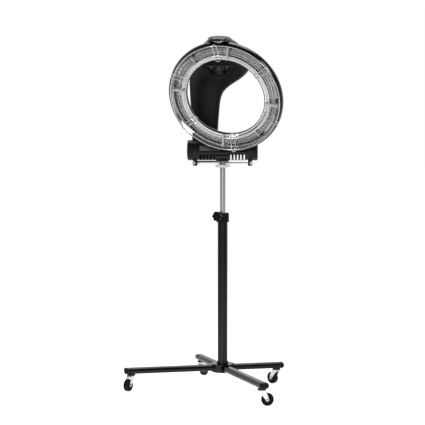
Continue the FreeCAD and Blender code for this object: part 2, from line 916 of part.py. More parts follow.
def half_curve(station, side, inset):
    """Points from the right seam to the left one, over the outer (1) or inner (-1) half of a section."""
    middle, tilt, left, right, thick = station
    a = math.radians(tilt)
    out = Vector(0, math.cos(a), math.sin(a)) * side
    half_x = (right - left) / 2 - inset
    half_n = thick / 2 - inset - arm_seam
    centre = Vector((left + right) / 2, middle.y, middle.z) + out * arm_seam
    rise_power = 2 / (outer_fullness if side > 0 else inner_fullness)
    points = []
    for i in range(section_points + 1):
        t = math.pi * i / section_points
        x = half_x * math.copysign(abs(math.cos(t)) ** (2 / outer_fullness), math.cos(t))
        n = half_n * abs(math.sin(t)) ** rise_power
        points.append(centre + WORLD_X * x + out * n)
    return points


def curve_through(points):
    curve = Part.BSplineCurve()
    curve.interpolate(Points=points)
    return curve.toShape()


def half_section(station, side):
    points = half_curve(station, side, 0)[::-side]
    return Part.Wire([curve_through(points), line(points[-1], points[0])])


def wall_section(station, side):
    """Closed outline of one shell's wall at a station."""
    outer = half_curve(station, side, 0)[::-side]
    inner = half_curve(station, side, arm_wall)[::side]
    edges = [
        curve_through(outer),
        line(outer[-1], inner[0]),
        curve_through(inner),
        line(inner[-1], outer[0]),
    ]
    return Part.Wire(edges)


def arm_half(side):
    """Solid outer (1) or inner (-1) half of the arm and hood."""
    return Part.makeLoft([half_section(s, side) for s in arm_stations()], True, False)


def arm_shell(side):
    """One moulded shell of the arm and hood, closed at the foot and at the nose."""
    stations = arm_stations()
    shell = Part.makeLoft([wall_section(s, side) for s in stations], True, False)
    foot = Part.Face(half_section(stations[0], side)).extrude(WORLD_Z * arm_wall)
    tilt = math.radians(stations[-1][1])
    back = Vector(0, math.sin(tilt), -math.cos(tilt))
    nose = Part.Face(half_section(stations[-1], side)).extrude(back * (2 * arm_wall))
    return shell.fuse([foot, nose], join_tolerance)


def recess_prism(inset, start, end):
    """Pointed recess, round at its tip, cut into the arm along the direction away from the client."""
    tip = -recess_tip_drop + inset
    top = recess_rise - inset
    half = recess_half_width - inset
    run = Vector(half, 0, top - tip)
    slope = math.atan2(run.z, run.x)
    r = recess_tip_radius
    centre_z = tip + r
    tx = r * math.sin(slope)
    tz = centre_z - r * math.cos(slope)
    edges = [
        line(Vector(-half, 0, top), Vector(half, 0, top)),
        line(Vector(half, 0, top), Vector(tx, 0, tz)),
        arc(Vector(tx, 0, tz), Vector(0, 0, centre_z - r), Vector(-tx, 0, tz)),
        line(Vector(-tx, 0, tz), Vector(-half, 0, top)),
    ]
    prism = face_of(edges).extrude(WORLD_Y * (end - start))
    prism = moved(prism, Vector(0, start, 0))
    prism = turned(prism, recess_angle, WORLD_X)
    return moved(prism, orbit_centre + WORLD_X * recess_place)


recess_floor = recess_face + recess_depth


def motor_cover():
    """Dished cover in the recess: a wall round its edge, a floor, a dome for the motor and cooling fins."""
    far = recess_floor + recess_wall
    cup = recess_prism(seat_gap, recess_face - 2 * recess_wall, far)
    cup = cup.cut(recess_prism(seat_gap + recess_wall, 0, recess_floor))
    rim = recess_face + 2 * recess_wall
    cup = cup.common(arm_half(-1).fuse(recess_prism(seat_gap, rim, far)))
    inside = recess_prism(seat_gap + recess_wall, recess_face - recess_depth, recess_floor)
    sphere_radius = (dome_radius ** 2 + dome_height ** 2) / (2 * dome_height)
    a = math.radians(recess_angle)
    lift = Vector(0, -math.sin(a), math.cos(a)) * (dome_height / 2)
    dome_place = recess_floor - dome_height + sphere_radius
    dome_centre = hood_point(recess_angle, dome_place, recess_place) + lift
    body = cup.fuse(Part.makeSphere(sphere_radius, dome_centre).common(inside))
    fin_half = fin_thickness / 2
    for i in range(fin_count):
        x = recess_place + (i - (fin_count - 1) / 2) * fin_pitch
        fin = box(x - fin_half, x + fin_half, recess_floor - fin_height, recess_floor, -fin_reach, fin_reach)
        fin = moved(turned(fin, recess_angle, WORLD_X), orbit_centre)
        body = body.fuse(fin.common(inside))
    return body.removeSplitter()


bracket_top = head_rise + hub_middle_radius - bracket_drop
bracket_bottom = bracket_top - bracket_height
spindle_bottom = bracket_bottom + spindle_seat
worm_wheel_bottom = bracket_top + worm_wheel_lift
spindle_top = worm_wheel_bottom + worm_wheel_height
worm_x = worm_wheel_radius + worm_radius + free_gap
worm_z = worm_wheel_bottom + worm_wheel_height / 2
bearing_radius = spindle_radius + bearing_wall
bearing_bottom = bracket_top + hub_gap
frame_hub_top = worm_wheel_bottom - 4 * free_gap
frame_hub_bottom = frame_hub_top - frame_thickness


def main_solid(shape):
    return max(shape.Solids, key=lambda s: s.Volume)


def on_hub(radius, bottom, top):
    return upright(radius, bottom, top, 0, -head_forward)


def frame_section(middle, tilt, centre_x, outset):
    a = math.radians(tilt)
    out = Vector(0, math.cos(a), math.sin(a))
    centre = Vector(centre_x, middle.y, middle.z) + out * outset
    half = out * (frame_thickness / 2)
    side = WORLD_X * frame_half_width
    corners = [centre - side - half, centre + side - half, centre + side + half, centre - side + half]
    return Part.makePolygon(corners + [corners[0]])


def arm_frame():
    """Steel spine from the unit to the hub: it runs near the outer shell, then under the worm wheel."""
    stations = arm_stations()
    hub_radius_from_centre = (frame_hub_top + frame_hub_bottom) / 2 - head_rise
    wires = []
    for i, (middle, tilt, left, right, thick) in enumerate(stations[:-3]):
        share = max(0.0, (tilt - frame_sink_start) / (frame_sink_end - frame_sink_start))
        share = min(1.0, share)
        sink = hub_radius_from_centre - hub_middle_radius
        outset = frame_outset + (sink - frame_outset) * share
        point = middle
        if i == 0:
            point = middle + WORLD_Z * frame_start
        wires.append(frame_section(point, tilt, (left + right) / 2, outset))
    body = Part.makeLoft(wires, True, False)
    ear_half = worm_ear_thickness / 2
    ear_left = worm_x - worm_radius - free_gap
    ear_wall = worm_radius - worm_journal_radius - free_gap
    ear_right = worm_x + worm_journal_radius + ear_wall
    plate_front = -head_forward - frame_nose
    plate_back = -head_forward + 2 * frame_nose
    plate = box(-frame_half_width, ear_right, plate_front, plate_back, frame_hub_bottom, frame_hub_top)
    body = body.fuse(plate)
    for side in (-1, 1):
        y = -head_forward + side * (worm_half_length + worm_journal_length / 2 + free_gap)
        ear_top = worm_z + worm_journal_radius + ear_wall
        ear = box(ear_left, ear_right, y - ear_half, y + ear_half, frame_hub_bottom, ear_top)
        body = body.fuse(ear)
    body = body.cut(on_hub(bearing_radius + seat_gap, bearing_bottom, spindle_top))
    body = body.fuse(tongue_box(0, tongue_front, stations[0][0].y + frame_outset))
    start = Vector(worm_x, -head_forward - 2 * worm_half_length, worm_z)
    journal = rod(worm_journal_radius + running_gap, start, WORLD_Y, 4 * worm_half_length)
    return body.cut(journal).removeSplitter()


def hub_bearing():
    body = on_hub(bearing_radius, bearing_bottom, frame_hub_top)
    return body.cut(on_hub(spindle_radius + running_gap, bearing_bottom, frame_hub_top)).removeSplitter()


motor_radial = recess_floor + recess_wall + motor_radius + free_gap


def motor_ends():
    a = math.radians(motor_angle)
    along = Vector(0, -math.sin(a), math.cos(a))
    middle = hood_point(motor_angle, motor_radial, worm_x)
    return middle - along * (motor_length / 2), middle + along * (motor_length / 2), along


def hub_motor():
    start, end, along = motor_ends()
    body = rod(motor_radius, start, along, motor_length)
    return body.fuse(rod(motor_neck_radius, end, along, motor_neck)).removeSplitter()


def flex_shaft():
    """Flexible shaft in one bend from the motor's neck, over the hood, to the end of the worm."""
    start, end, along = motor_ends()
    first = end + along * (motor_neck - overrun)
    middle = hood_point(flex_middle_angle, flex_middle_radius, worm_x)
    worm_end = worm_half_length + worm_journal_length + free_gap
    last = Vector(worm_x, -head_forward + worm_end, worm_z)
    bend = arc(first, middle, last)
    centre = bend.Curve.Center
    sweep = math.degrees((first - centre).getAngle(last - centre))
    tangent = WORLD_X.cross(first - centre)
    disc = Part.Face(Part.Wire([Part.makeCircle(flex_radius, first, tangent)]))
    neck = rod(motor_neck_radius, end, along, motor_neck)
    return main_solid(disc.revolve(centre, WORLD_X, sweep).cut(neck))


def drive_worm():
    """Worm with a plain journal at each end; rings of grooves stand for its thread."""
    start = Vector(worm_x, -head_forward - worm_half_length, worm_z)
    body = rod(worm_radius, start, WORLD_Y, 2 * worm_half_length)
    for i in range(worm_grooves):
        y = -head_forward + (i - (worm_grooves - 1) / 2) * worm_groove_pitch - worm_groove_width / 2
        groove_start = Vector(worm_x, y, worm_z)
        groove = rod(worm_radius + worm_groove_depth, groove_start, WORLD_Y, worm_groove_width)
        groove = groove.cut(rod(worm_radius - worm_groove_depth, groove_start, WORLD_Y, worm_groove_width))
        body = body.cut(groove)
    journal_start = start - WORLD_Y * worm_journal_length
    journal_length = 2 * (worm_half_length + worm_journal_length)
    return body.fuse(rod(worm_journal_radius, journal_start, WORLD_Y, journal_length)).removeSplitter()


def arm_front_shell():
    front = arm_shell(-1)
    front = front.cut(recess_prism(0, 0, recess_floor + recess_wall))
    front = front.cut(tongue_box(seat_gap, tongue_front, arm_foot[0][0]))
    front = front.cut(on_hub(bearing_radius + seat_gap, bracket_top, spindle_top))
    return main_solid(front)


# ---- heater ring, in its own frame: origin at the orbit centre, +Z along the ring's axis,
# +X towards the hub ----
plane_distance = math.sqrt(orbit_radius ** 2 - ring_mean_radius ** 2)
ring_lean = math.acos(plane_distance / orbit_radius)
ring_axis = flat(ring_turn) * math.sin(ring_lean) + WORLD_Z * math.cos(ring_lean)
ring_up = WORLD_Z * orbit_radius - ring_axis * plane_distance
ring_up.normalize()
ring_side = ring_axis.cross(ring_up)


def ring_placement():
    turn = FreeCAD.Rotation(ring_up, ring_side, ring_axis, "ZXY")
    return FreeCAD.Placement(orbit_centre, turn)


def from_ring(shape):
    """Place a shape made in the ring's own frame."""
    copy = shape.copy()
    copy.Placement = ring_placement().multiply(copy.Placement)
    return copy


def to_ring(shape):
    """Bring a shape from the part's frame into the ring's own frame."""
    copy = shape.copy()
    copy.Placement = ring_placement().inverse().multiply(copy.Placement)
    return copy


def ring_point(radius, depth):
    """Point of the ring's profile: radius from its axis, depth behind the plane of its front rim."""
    return Vector(radius, 0, rim_depth + depth)


def revolved(edges):
    return face_of(edges).revolve(Vector(0, 0, 0), WORLD_Z, 360)


def shell_profile(inset):
    """Outline of the ring's shell; with an inset it is the hollow inside, open at the front."""
    open_by = 4 * ring_wall if inset > 0 else 0.0
    lip_out = ring_lip_radius - inset
    lip_in = ring_inner_radius + inset
    back = ring_back_depth - inset
    outer_start = ring_point(lip_out, ring_lip_depth)
    shift = inset * ring_edge_share
    shoulder = ring_point(ring_shoulder_radius - shift, ring_shoulder_depth - inset)
    inner_back = ring_point(ring_back_inner + shift, back)
    inner_side = ring_point(lip_in + ring_inner_side_out, back - ring_inner_side_rise)
    inner_bulge = ring_point(lip_in, ring_inner_lip_depth + ring_bulge_depth / 3)
    corners = [
        inner_bulge,
        ring_point(lip_in, ring_inner_lip_depth - open_by),
        ring_point(lip_out, ring_lip_depth - open_by),
        outer_start,
    ]
    edges = [
        arc(outer_start, ring_point(ring_outer_radius - inset, ring_bulge_depth), shoulder),
        line(shoulder, ring_point(ring_back_outer, back)),
        line(ring_point(ring_back_outer, back), inner_back),
        arc(inner_back, inner_side, inner_bulge),
    ]
    for a, b in zip(corners, corners[1:]):
        if (b - a).Length > free_gap:
            edges.append(line(a, b))
    return edges


def ring_shell():
    body = revolved(shell_profile(0)).cut(revolved(shell_profile(ring_wall)))
    hole = to_ring(on_hub(bracket_radius + seat_gap, bracket_bottom - ring_wall, bracket_top))
    return from_ring(body.cut(hole).removeSplitter())


reflector_outer = ring_lip_radius - ring_wall - free_gap
reflector_inner = ring_inner_radius + ring_wall + free_gap


def reflector_front():
    """Points of the reflector's front face, from its outer lip to its inner lip."""
    lips = [(reflector_outer, 0.0), (reflector_outer - reflector_lip_width, 0.0)]
    inner_lip = [(reflector_inner, reflector_rib[-1][1])]
    return [ring_point(*place) for place in lips + reflector_slope + reflector_rib + inner_lip]


def reflector_side(shift):
    """Edges along the reflector's front face, moved back by shift, with a round trough."""
    points = [p + WORLD_Z * shift for p in reflector_front()]
    edges = [line(points[0], points[1]), line(points[1], points[2])]
    edges.append(arc(points[2], (points[3] + points[4]) * 0.5, points[5]))
    for i in range(5, len(points) - 1):
        edges.append(line(points[i], points[i + 1]))
    return edges


def ring_reflector():
    front = reflector_side(0)
    back = reflector_side(reflector_sheet)
    a = reflector_front()[0]
    b = reflector_front()[-1]
    shift = WORLD_Z * reflector_sheet
    edges = front + [line(b, b + shift)] + back + [line(a + shift, a)]
    return from_ring(revolved(Part.__sortEdges__(edges)))


def behind_reflector(gap):
    """Everything level with the reflector's front face or behind it, less a gap."""
    front = reflector_side(-gap)
    a = reflector_front()[0] - WORLD_Z * gap
    b = reflector_front()[-1] - WORLD_Z * gap
    far_a = Vector(a.x, 0, rim_depth + 2 * ring_back_depth)
    far_b = Vector(b.x, 0, rim_depth + 2 * ring_back_depth)
    edges = front + [line(b, far_b), line(far_b, far_a), line(far_a, a)]
    return revolved(Part.__sortEdges__(edges))


heater_plane = rim_depth + heater_depth
heater_step = 360.0 / heater_count


def heater_legs(radius, start, sweep):
    """Both legs of a hairpin heater, as arcs of a torus each."""
    legs = []
    for side in (-1, 1):
        leg_radius = heater_radius + side * heater_spacing / 2
        torus = Part.makeTorus(leg_radius, radius, Vector(0, 0, heater_plane), WORLD_Z, -180, 180, sweep)
        legs.append(turned(torus, start))
    return legs


def heater_spans():
    spans = []
    for i in range(heater_count):
        start = heater_phase + i * heater_step + heater_start_gap
        sweep = heater_step - heater_start_gap - heater_end_gap
        spans.append((start, sweep))
    return spans


def heater_bend(radius, angle):
    centre = flat(angle) * heater_radius + Vector(0, 0, heater_plane)
    torus = Part.makeTorus(heater_spacing / 2, radius, centre, WORLD_Z, -180, 180, 180)
    return turned(torus, angle, WORLD_Z, centre)


def heater_tube(start, sweep):
    outer = heater_legs(heater_tube_radius, start, sweep)
    body = outer[0].fuse(outer[1]).fuse(heater_bend(heater_tube_radius, start + sweep))
    for bore in heater_legs(heater_bore_radius, start - heater_end_wall, sweep):
        body = body.cut(bore)
    return body.removeSplitter()


def heater_coils(start, sweep):
    return heater_legs(heater_coil_radius, start, sweep - coil_end_gap)


def holder_block(angle, thickness, inner, outer, front):
    half = thickness / 2
    block = box(inner, outer, -half, half, rim_depth + front, rim_depth + ring_back_depth)
    block = turned(block, angle)
    return block.cut(behind_reflector(free_gap))


def ceramic_holders():
    """A partition at the start of each heater and a support under the middle of each."""
    solids = []
    for i in range(heater_count):
        angle = heater_phase + i * heater_step
        solids.append(holder_block(angle, holder_thickness, holder_inner, holder_outer, holder_front))
        middle = angle + heater_step / 2
        support = holder_block(middle, support_thickness, support_inner, support_outer, support_front)
        cradle = heater_legs(heater_tube_radius + seat_gap, middle - support_thickness, 2 * support_thickness)
        for leg_tube in cradle:
            support = support.cut(leg_tube)
        solids.append(support)
    return [main_solid(solid) for solid in solids]


def guard(angle):
    """Closed loop of wire that lies across the trough, from past the outer lip to past the inner lip."""
    lip = reflector_front()[1]
    rib = reflector_front()[7]
    fall = (rib.z - lip.z) / (lip.x - rib.x)
    lift = guard_wire_radius + free_gap
    top = Vector(guard_outer_reach, 0, lip.z - lift - fall * (guard_outer_reach - lip.x))
    bottom = Vector(guard_inner_reach, 0, lip.z - lift + fall * (lip.x - guard_inner_reach))
    half = guard_spacing / 2
    run = bottom - top
    length = run.Length - 2 * half
    run.normalize()
    normal = run.cross(WORLD_Y)
    outer_centre = top + run * half
    inner_centre = bottom - run * half
    body = None
    for side in (-1, 1):
        start = outer_centre + WORLD_Y * (side * half)
        leg_wire = rod(guard_wire_radius, start, run, length)
        body = leg_wire if body is None else body.fuse(leg_wire)
    for centre, direction in ((outer_centre, -1), (inner_centre, 1)):
        ring = Part.makeTorus(half, guard_wire_radius, centre, normal)
        keep = rod(2 * half, centre, run * direction, 2 * half)
        body = body.fuse(ring.common(keep))
    return turned(body.removeSplitter(), angle)


def ring_bracket():
    boss = on_hub(bracket_radius, bracket_bottom, bracket_top)
    boss = boss.cut(on_hub(spindle_radius, spindle_bottom, bracket_top))
    boss = boss.cut(on_hub(slip_ring_radius + seat_gap, bracket_top - slip_ring_height, bracket_top))
    return boss


def slip_ring():
    body = on_hub(slip_ring_radius, bracket_top - slip_ring_height + seat_gap, bracket_top)
    return body.cut(on_hub(spindle_radius + seat_gap, bracket_bottom, bracket_top))


def hub_spindle():
    body = on_hub(spindle_radius, spindle_bottom, spindle_top)
    wheel = on_hub(worm_wheel_radius, worm_wheel_bottom, spindle_top)
    for i in range(worm_wheel_teeth):
        angle = 360.0 * i / worm_wheel_teeth
        notch = upright(worm_tooth_depth, worm_wheel_bottom, spindle_top, worm_wheel_radius, 0)
        wheel = wheel.cut(moved(turned(notch, angle), Vector(0, -head_forward, 0)))
    return body.fuse(wheel).removeSplitter()


# ---- make every node ----
os.makedirs("parts", exist_ok=True)

save("base_hub", base_hub())
for side_name in leg_angles:
    save("leg_%s" % side_name, leg(side_name))
    save("caster_fork_%s" % side_name, caster_fork(side_name))
    save("caster_axle_%s" % side_name, caster_axle(side_name))
    save("caster_wheel_%s" % side_name, caster_wheel(side_name))
save("leg_end_caps", Part.makeCompound([leg_cap(n) for n in leg_angles]))
save("caster_stems", Part.makeCompound([caster_stem(n) for n in leg_angles]))
save("tie_bolt", tie_bolt())
save("column_tube", column_tube())
save("height_collar", height_collar())
save("collar_bush", collar_bush())
save("height_knob", height_knob())
save("knob_stud", knob_stud())
save("rod_tube", rod_tube())
save("rod_glide", rod_glide())
save("rod_flange", rod_flange())
save("swivel_post", swivel_post())
save("tilt_saddle", tilt_saddle())

save("unit_housing", unit_housing())
save("end_collars", Part.makeCompound([end_collar(-1), end_collar(1)]))
save("end_knob_left", end_knob(-1))
save("end_knob_right", end_knob(1))
save("panel_bezel", panel_bezel())
save("display_window", display_window())
save("circuit_board", circuit_board())
for button_name, button_place in button_places.items():
    save(button_name, push_button(button_place))
save("power_rocker", power_rocker())
save("power_module", power_module())
save("power_inlet", power_inlet())
save("handle_tube", handle_tube())

save("arm_front_shell", arm_front_shell())
save("arm_rear_shell", main_solid(arm_shell(1)))
save("motor_cover", motor_cover())
save("arm_frame", arm_frame())
save("hub_motor", hub_motor())
save("flex_shaft", flex_shaft())
save("hub_bearing", hub_bearing())
save("drive_worm", drive_worm())

save("ring_shell", ring_shell())
save("ring_reflector", ring_reflector())
save("heater_tubes", from_ring(Part.makeCompound([heater_tube(*span) for span in heater_spans()])))
coil_arcs = [coil for span in heater_spans() for coil in heater_coils(*span)]
save("heater_coils", from_ring(Part.makeCompound(coil_arcs)))
save("ceramic_holders", from_ring(Part.makeCompound(ceramic_holders())))
guard_step = 360.0 / guard_count
guards = [guard(guard_phase + i * guard_step) for i in range(guard_count)]
save("wire_guards", from_ring(Part.makeCompound(guards)))
save("ring_bracket", ring_bracket())
save("slip_ring", slip_ring())
save("hub_spindle", hub_spindle())
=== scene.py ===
import json
import math

import bpy
from mathutils import Matrix, Vector


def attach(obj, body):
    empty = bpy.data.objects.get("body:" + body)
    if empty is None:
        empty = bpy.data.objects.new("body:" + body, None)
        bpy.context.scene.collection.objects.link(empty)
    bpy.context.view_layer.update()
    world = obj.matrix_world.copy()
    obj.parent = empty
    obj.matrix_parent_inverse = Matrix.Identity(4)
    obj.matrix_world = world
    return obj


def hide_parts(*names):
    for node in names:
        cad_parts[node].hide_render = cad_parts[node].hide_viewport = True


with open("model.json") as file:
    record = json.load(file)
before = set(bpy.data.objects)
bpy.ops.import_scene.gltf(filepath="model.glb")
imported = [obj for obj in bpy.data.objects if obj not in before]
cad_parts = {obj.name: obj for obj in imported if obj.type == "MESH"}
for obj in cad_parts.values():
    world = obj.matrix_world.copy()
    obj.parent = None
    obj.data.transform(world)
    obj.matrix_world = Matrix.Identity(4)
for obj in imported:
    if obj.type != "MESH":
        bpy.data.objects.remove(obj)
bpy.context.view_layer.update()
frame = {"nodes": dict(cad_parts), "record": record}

# Hair color processor, in metres, in the frame of the solid model: origin on the floor under
# the column, +Z up, the heater ring and the client at -Y. Sizes are named in millimetres and
# angles in degrees, except where a heading says otherwise.

MM = 0.001
RIGHT_ANGLE = math.pi / 2
FULL_TURN = 2 * math.pi

# ---- camera: place in metres, lens and sensor in mm ----
CAMERA_PLACE = (0.26794, -5.00205, 1.07458)
CAMERA_TURN = 3.547
CAMERA_TILT = 3.937
CAMERA_LENS = 102.45
CAMERA_SENSOR = 36.0
CAMERA_REACH = 100.0

# ---- stage, in metres; levels are shares of white ----
FLOOR_SIZE = 60.0
FLOOR_GLOW = 0.7
FLOOR_MIRRORED = 1.25
LIT_FLOOR = (-0.3, -0.8, 0.0)
LIT_FADE = (0.5, 1.2)
WORLD_LEVEL = 0.5
DARK_SIDE = 0.1
WALL_FADE = (0.0, 0.5)
FRONT_LIGHT = 0.6
FRONT_FADE = (-0.80, -0.97)

# Softboxes: name, place, aim, width and height, and power in watts.
SOFTBOXES = (
    ("key", (-2.2, -3.0, 3.2), (0, -0.1, 0.9), (1.0, 1.3), 62.0),
    ("fill", (2.6, -2.2, 2.2), (0, -0.1, 0.9), (0.6, 1.6), 38.0),
    ("top", (0.3, 0.5, 3.6), (0, -0.1, 1.2), (2.4, 1.6), 60.0),
)

# ---- ring orbit, in metres: its centre, and the ring's own directions ----
ORBIT_CENTRE = Vector((0.0, -0.270, 1.159))
ORBIT_RADIUS = 0.2205
RING_RADIUS = 0.199
RING_TURN = math.radians(76.2)
PLANE_DISTANCE = math.sqrt(ORBIT_RADIUS ** 2 - RING_RADIUS ** 2)
RING_LEAN = math.acos(PLANE_DISTANCE / ORBIT_RADIUS)
RING_AXIS = Vector((
    math.cos(RING_TURN) * math.sin(RING_LEAN),
    math.sin(RING_TURN) * math.sin(RING_LEAN),
    math.cos(RING_LEAN),
))
RING_UP = (Vector((0, 0, ORBIT_RADIUS)) - RING_AXIS * PLANE_DISTANCE).normalized()
RING_SIDE = RING_AXIS.cross(RING_UP)
RING_TURNED = Matrix((RING_UP, RING_SIDE, RING_AXIS)).transposed().to_4x4()
RING_FRAME = Matrix.Translation(ORBIT_CENTRE) @ RING_TURNED

# ---- ring shell; heights are above the rim ----
RIM_DEPTH = 80.0
SHELL_LIP = (228.0, 1.5)
SHELL_BULGE = (235.0, 18.0)
SHELL_SHOULDER = (216.0, 40.7)
SHELL_BACK_RADII = (200.0, 176.0)
SHELL_BACK_HEIGHT = 46.0
SHELL_BACK_EASE = (6.0, 2.2)
SHELL_HOLE = 159.5
SHELL_HOLE_LIP = 14.0
SHELL_HOLE_BULGE = 20.0
SHELL_HOLE_SIDE = (4.0, 11.0)
SHELL_WALL = 2.5
SLANT_SHARE = 0.4
GROOVE_PLACE = 11
GROOVE_SHARE = 0.4
GROOVE_WIDTH = 0.9
GROOVE_DEPTH = 0.7

# ---- reflector, as (radius, height above the rim) from its outer bead inwards ----
OUTER_BEAD = ((225.2, 1.6), (223.8, 0.0), (222.2, 1.2))
TROUGH_EDGE = ((215.0, 12.5), (214.2, 13.6))
TROUGH = ((207.0, 26.0), (194.0, 33.0), (182.0, 26.0))
INNER_BEAD = ((180.9, 11.0), (179.0, 9.0), (177.2, 10.6))
INNER_RIM = (
    (174.6, 18.0), (173.0, 18.8), (168.5, 15.4),
    (166.5, 13.6), (163.5, 13.4), (162.3, 14.2),
)
REFLECTOR_SHEET = 1.2

# ---- heaters ----
HEATER_COUNT = 4
HEATER_PHASE = 10.0
HEATER_START_GAP = 2.2
HEATER_END_GAP = 5.0
HEATER_SWEEP = 360.0 / HEATER_COUNT - HEATER_START_GAP - HEATER_END_GAP
HEATER_RADIUS = 194.0
HEATER_SPACING = 10.0
HEATER_DEPTH = 20.0
HEATER_TUBE = 4.0
HEATER_BORE = 3.0
COIL_RADIUS = 1.3
COIL_WIRE = 0.68
COIL_PITCH = 1.5
COIL_SIDES = 9

# ---- wire guards: they rest on the outer bead's edge and on a rib, as (radius, depth) ----
GUARD_COUNT = 6
GUARD_PHASE = 57.0
GUARD_WIRE = 1.25
GUARD_GAP = 0.3
GUARD_SPACING = 17.5
GUARD_OUT = 231.0
GUARD_IN = 155.5
GUARD_EDGE = 222.2
GUARD_RIB = (177.5, 9.0)

# ---- chrome rod ----
ROD_RADIUS = 12.5
ROD_WALL = 1.5
ROD_ENDS = (470.0, 917.0)
ROD_EDGE = 0.4

# ---- legs: direction and length of each, and how far its caster has swivelled ----
LEGS = {
    "left": (195.0, 415.0, 243.5),
    "front": (296.5, 415.0, 2.0),
    "right": (15.0, 263.0, 138.5),
    "back": (116.5, 263.0, 60.0),
}
STEM_INBOARD = 30.0

# ---- casters; the wheel's side is given as (radius, depth below its side face) ----
RACE_RISE = 61.5
CASTER_TRAIL = 22.0
WHEEL_RADIUS = 25.0
WHEEL_WIDTH = 19.0
WHEEL_HUB = ((3.6, 0.6), (4.2, 0.0), (8.4, 0.0), (9.0, 0.6), (9.4, 3.0))
WHEEL_WEB = ((12.8, 3.2), (13.3, 2.7), (14.2, 2.7), (14.7, 3.2))
WHEEL_RIM = ((16.4, 3.0), (17.2, 0.7), (17.9, 0.0))
WHEEL_SHOULDER = ((21.4, 0.0), (24.0, 1.2), (25.0, 3.8))
WHEEL_PARTING = [(25.0, 1.2), (24.6, 0.5)]
SPOKE_COUNT = 5
SPOKE_HALF = (3.6, 1.1, 1.6)
SPOKE_EDGE = 0.35
SPOKE_RADIUS = 13.1
SPOKE_DEPTH = 2.4
AXLE_RADIUS = 3.5
AXLE_HALF = 12.7
HEX_WIDTH = 11.0
HEX_HEIGHT = 2.0
HEX_CHAMFER = 0.12
HEX_EDGE = 0.05
FACES_UP = 0.9

# ---- meshes: welds in metres; angles for joining facets, rounding edges and smoothing ----
WELD = 0.000001
FACET_WELD = 0.00001
FACET_ANGLE = 0.6
EDGE_ROUND = 0.4
EDGE_CORNER = 35.0
SMOOTH_ANGLE = 40.0
TURNED_ANGLE = 35.0

# ---- surface patterns ----
GRAIN_STRENGTH = 0.35
CLOUD_PATCH = 55.556
CLOUD_RANGE = (0.3, 0.7)
CLOUD_STOPS = (0.35, 0.68)
GLASS_PATCH = 25.0
GLASS_SHINE = (0.06, 0.16)
GLASS_EDGE = 0.35
GLASS_FACING = (0.1, 0.9)
GLASS_HIDES = (0.08, 0.85)
TRACK_SPACING = 6.25
TRACK_STOPS = (0.12, 0.2)
WINDOW_PATCH = 16.667
SPIN_LINE = 13.09
SPIN_DEPTH = 0.9
SPIN_STRENGTH = 0.8
SPIN_WANDER = 0.3
SPIN_PATCH = 71.429
SPIN_SHINE = (0.08, 0.14)
WAVE_UNIT = FULL_TURN / 20


# ---- colours and nodes ----
def colour(code):
    """Linear RGBA from an sRGB hex code."""
    channels = [int(code[i:i + 2], 16) / 255 for i in (1, 3, 5)]
    linear = [c / 12.92 if c <= 0.04045 else ((c + 0.055) / 1.055) ** 2.4 for c in channels]
    return (*linear, 1.0)


def add_node(owner, kind, inputs=(), **settings):
    """Add a node with its settings; inputs are pairs of a socket and a value or other socket."""
    made = owner.node_tree.nodes.new(kind)
    for key, value in settings.items():
        setattr(made, key, value)
    for key, value in inputs:
        if isinstance(value, bpy.types.NodeSocket):
            owner.node_tree.links.new(value, made.inputs[key])
        else:
            made.inputs[key].default_value = value
    return made


def new_material(name, base, roughness, metallic=0.0, **sockets):
    """Material with its shader's plain sockets set; returns the material and the shader."""
    material = bpy.data.materials.new(name)
    material.use_nodes = True
    shader = material.node_tree.nodes["Principled BSDF"]
    shader.inputs["Base Color"].default_value = colour(base)
    shader.inputs["Roughness"].default_value = roughness
    shader.inputs["Metallic"].default_value = metallic
    for key, value in sockets.items():
        shader.inputs[key.replace("_", " ")].default_value = value
    return material, shader


def set_tones(ramp, stops, tones):
    """Give the two ends of a colour ramp their places and colours."""
    for element, stop, tone in zip(ramp.color_ramp.elements, stops, tones):
        element.color = colour(tone)
        element.position = stop


def surface_texture(made, grain, depth, shine, tones):
    """Moulded or coated surface: the grain (mm) gives the bump, and cloudy patches vary the
    roughness between the two ends of shine and the colour between a dark and a light tone."""
    material, shader = made
    links = material.node_tree.links
    place = add_node(material, "ShaderNodeTexCoord").outputs["Object"]
    fine = add_node(material, "ShaderNodeTexNoise", [
        ("Vector", place), ("Scale", 1 / (grain * MM)), ("Detail", 3.0),
    ])
    cloud = add_node(material, "ShaderNodeTexNoise", [
        ("Vector", place), ("Scale", 1 / (CLOUD_PATCH * MM)), ("Detail", 4.0),
    ])
    spread = add_node(material, "ShaderNodeMapRange", [
        ("Value", cloud.outputs["Fac"]), ("From Min", CLOUD_RANGE[0]), ("From Max", CLOUD_RANGE[1]),
        ("To Min", shine[0]), ("To Max", shine[1]),
    ])
    tint = add_node(material, "ShaderNodeValToRGB", [("Fac", cloud.outputs["Fac"])])
    set_tones(tint, CLOUD_STOPS, tones)
    bump = add_node(material, "ShaderNodeBump", [
        ("Height", fine.outputs["Fac"]), ("Strength", GRAIN_STRENGTH), ("Distance", depth * MM),
    ])
    links.new(tint.outputs["Color"], shader.inputs["Base Color"])
    links.new(spread.outputs["Result"], shader.inputs["Roughness"])
    links.new(bump.outputs["Normal"], shader.inputs["Normal"])
    return material


# ---- finishes ----
def powder_coat():
    """Glossy black powder coat on steel tube: a fine orange peel breaks up the highlights."""
    made = new_material("powder_coat_black", "#0a0a0b", 0.12, Specular_IOR_Level=0.26)
    return surface_texture(
        made, grain=1.6, depth=0.015, shine=(0.09, 0.16), tones=("#070708", "#0b0b0c"))


def moulded_abs():
    """Black ABS from a fine-sparked mould: soft sheen with a slight grain."""
    made = new_material("abs_black_satin", "#090909", 0.35, Specular_IOR_Level=0.2)
    return surface_texture(
        made, grain=0.9, depth=0.03, shine=(0.26, 0.38), tones=("#070708", "#0b0b0c"))


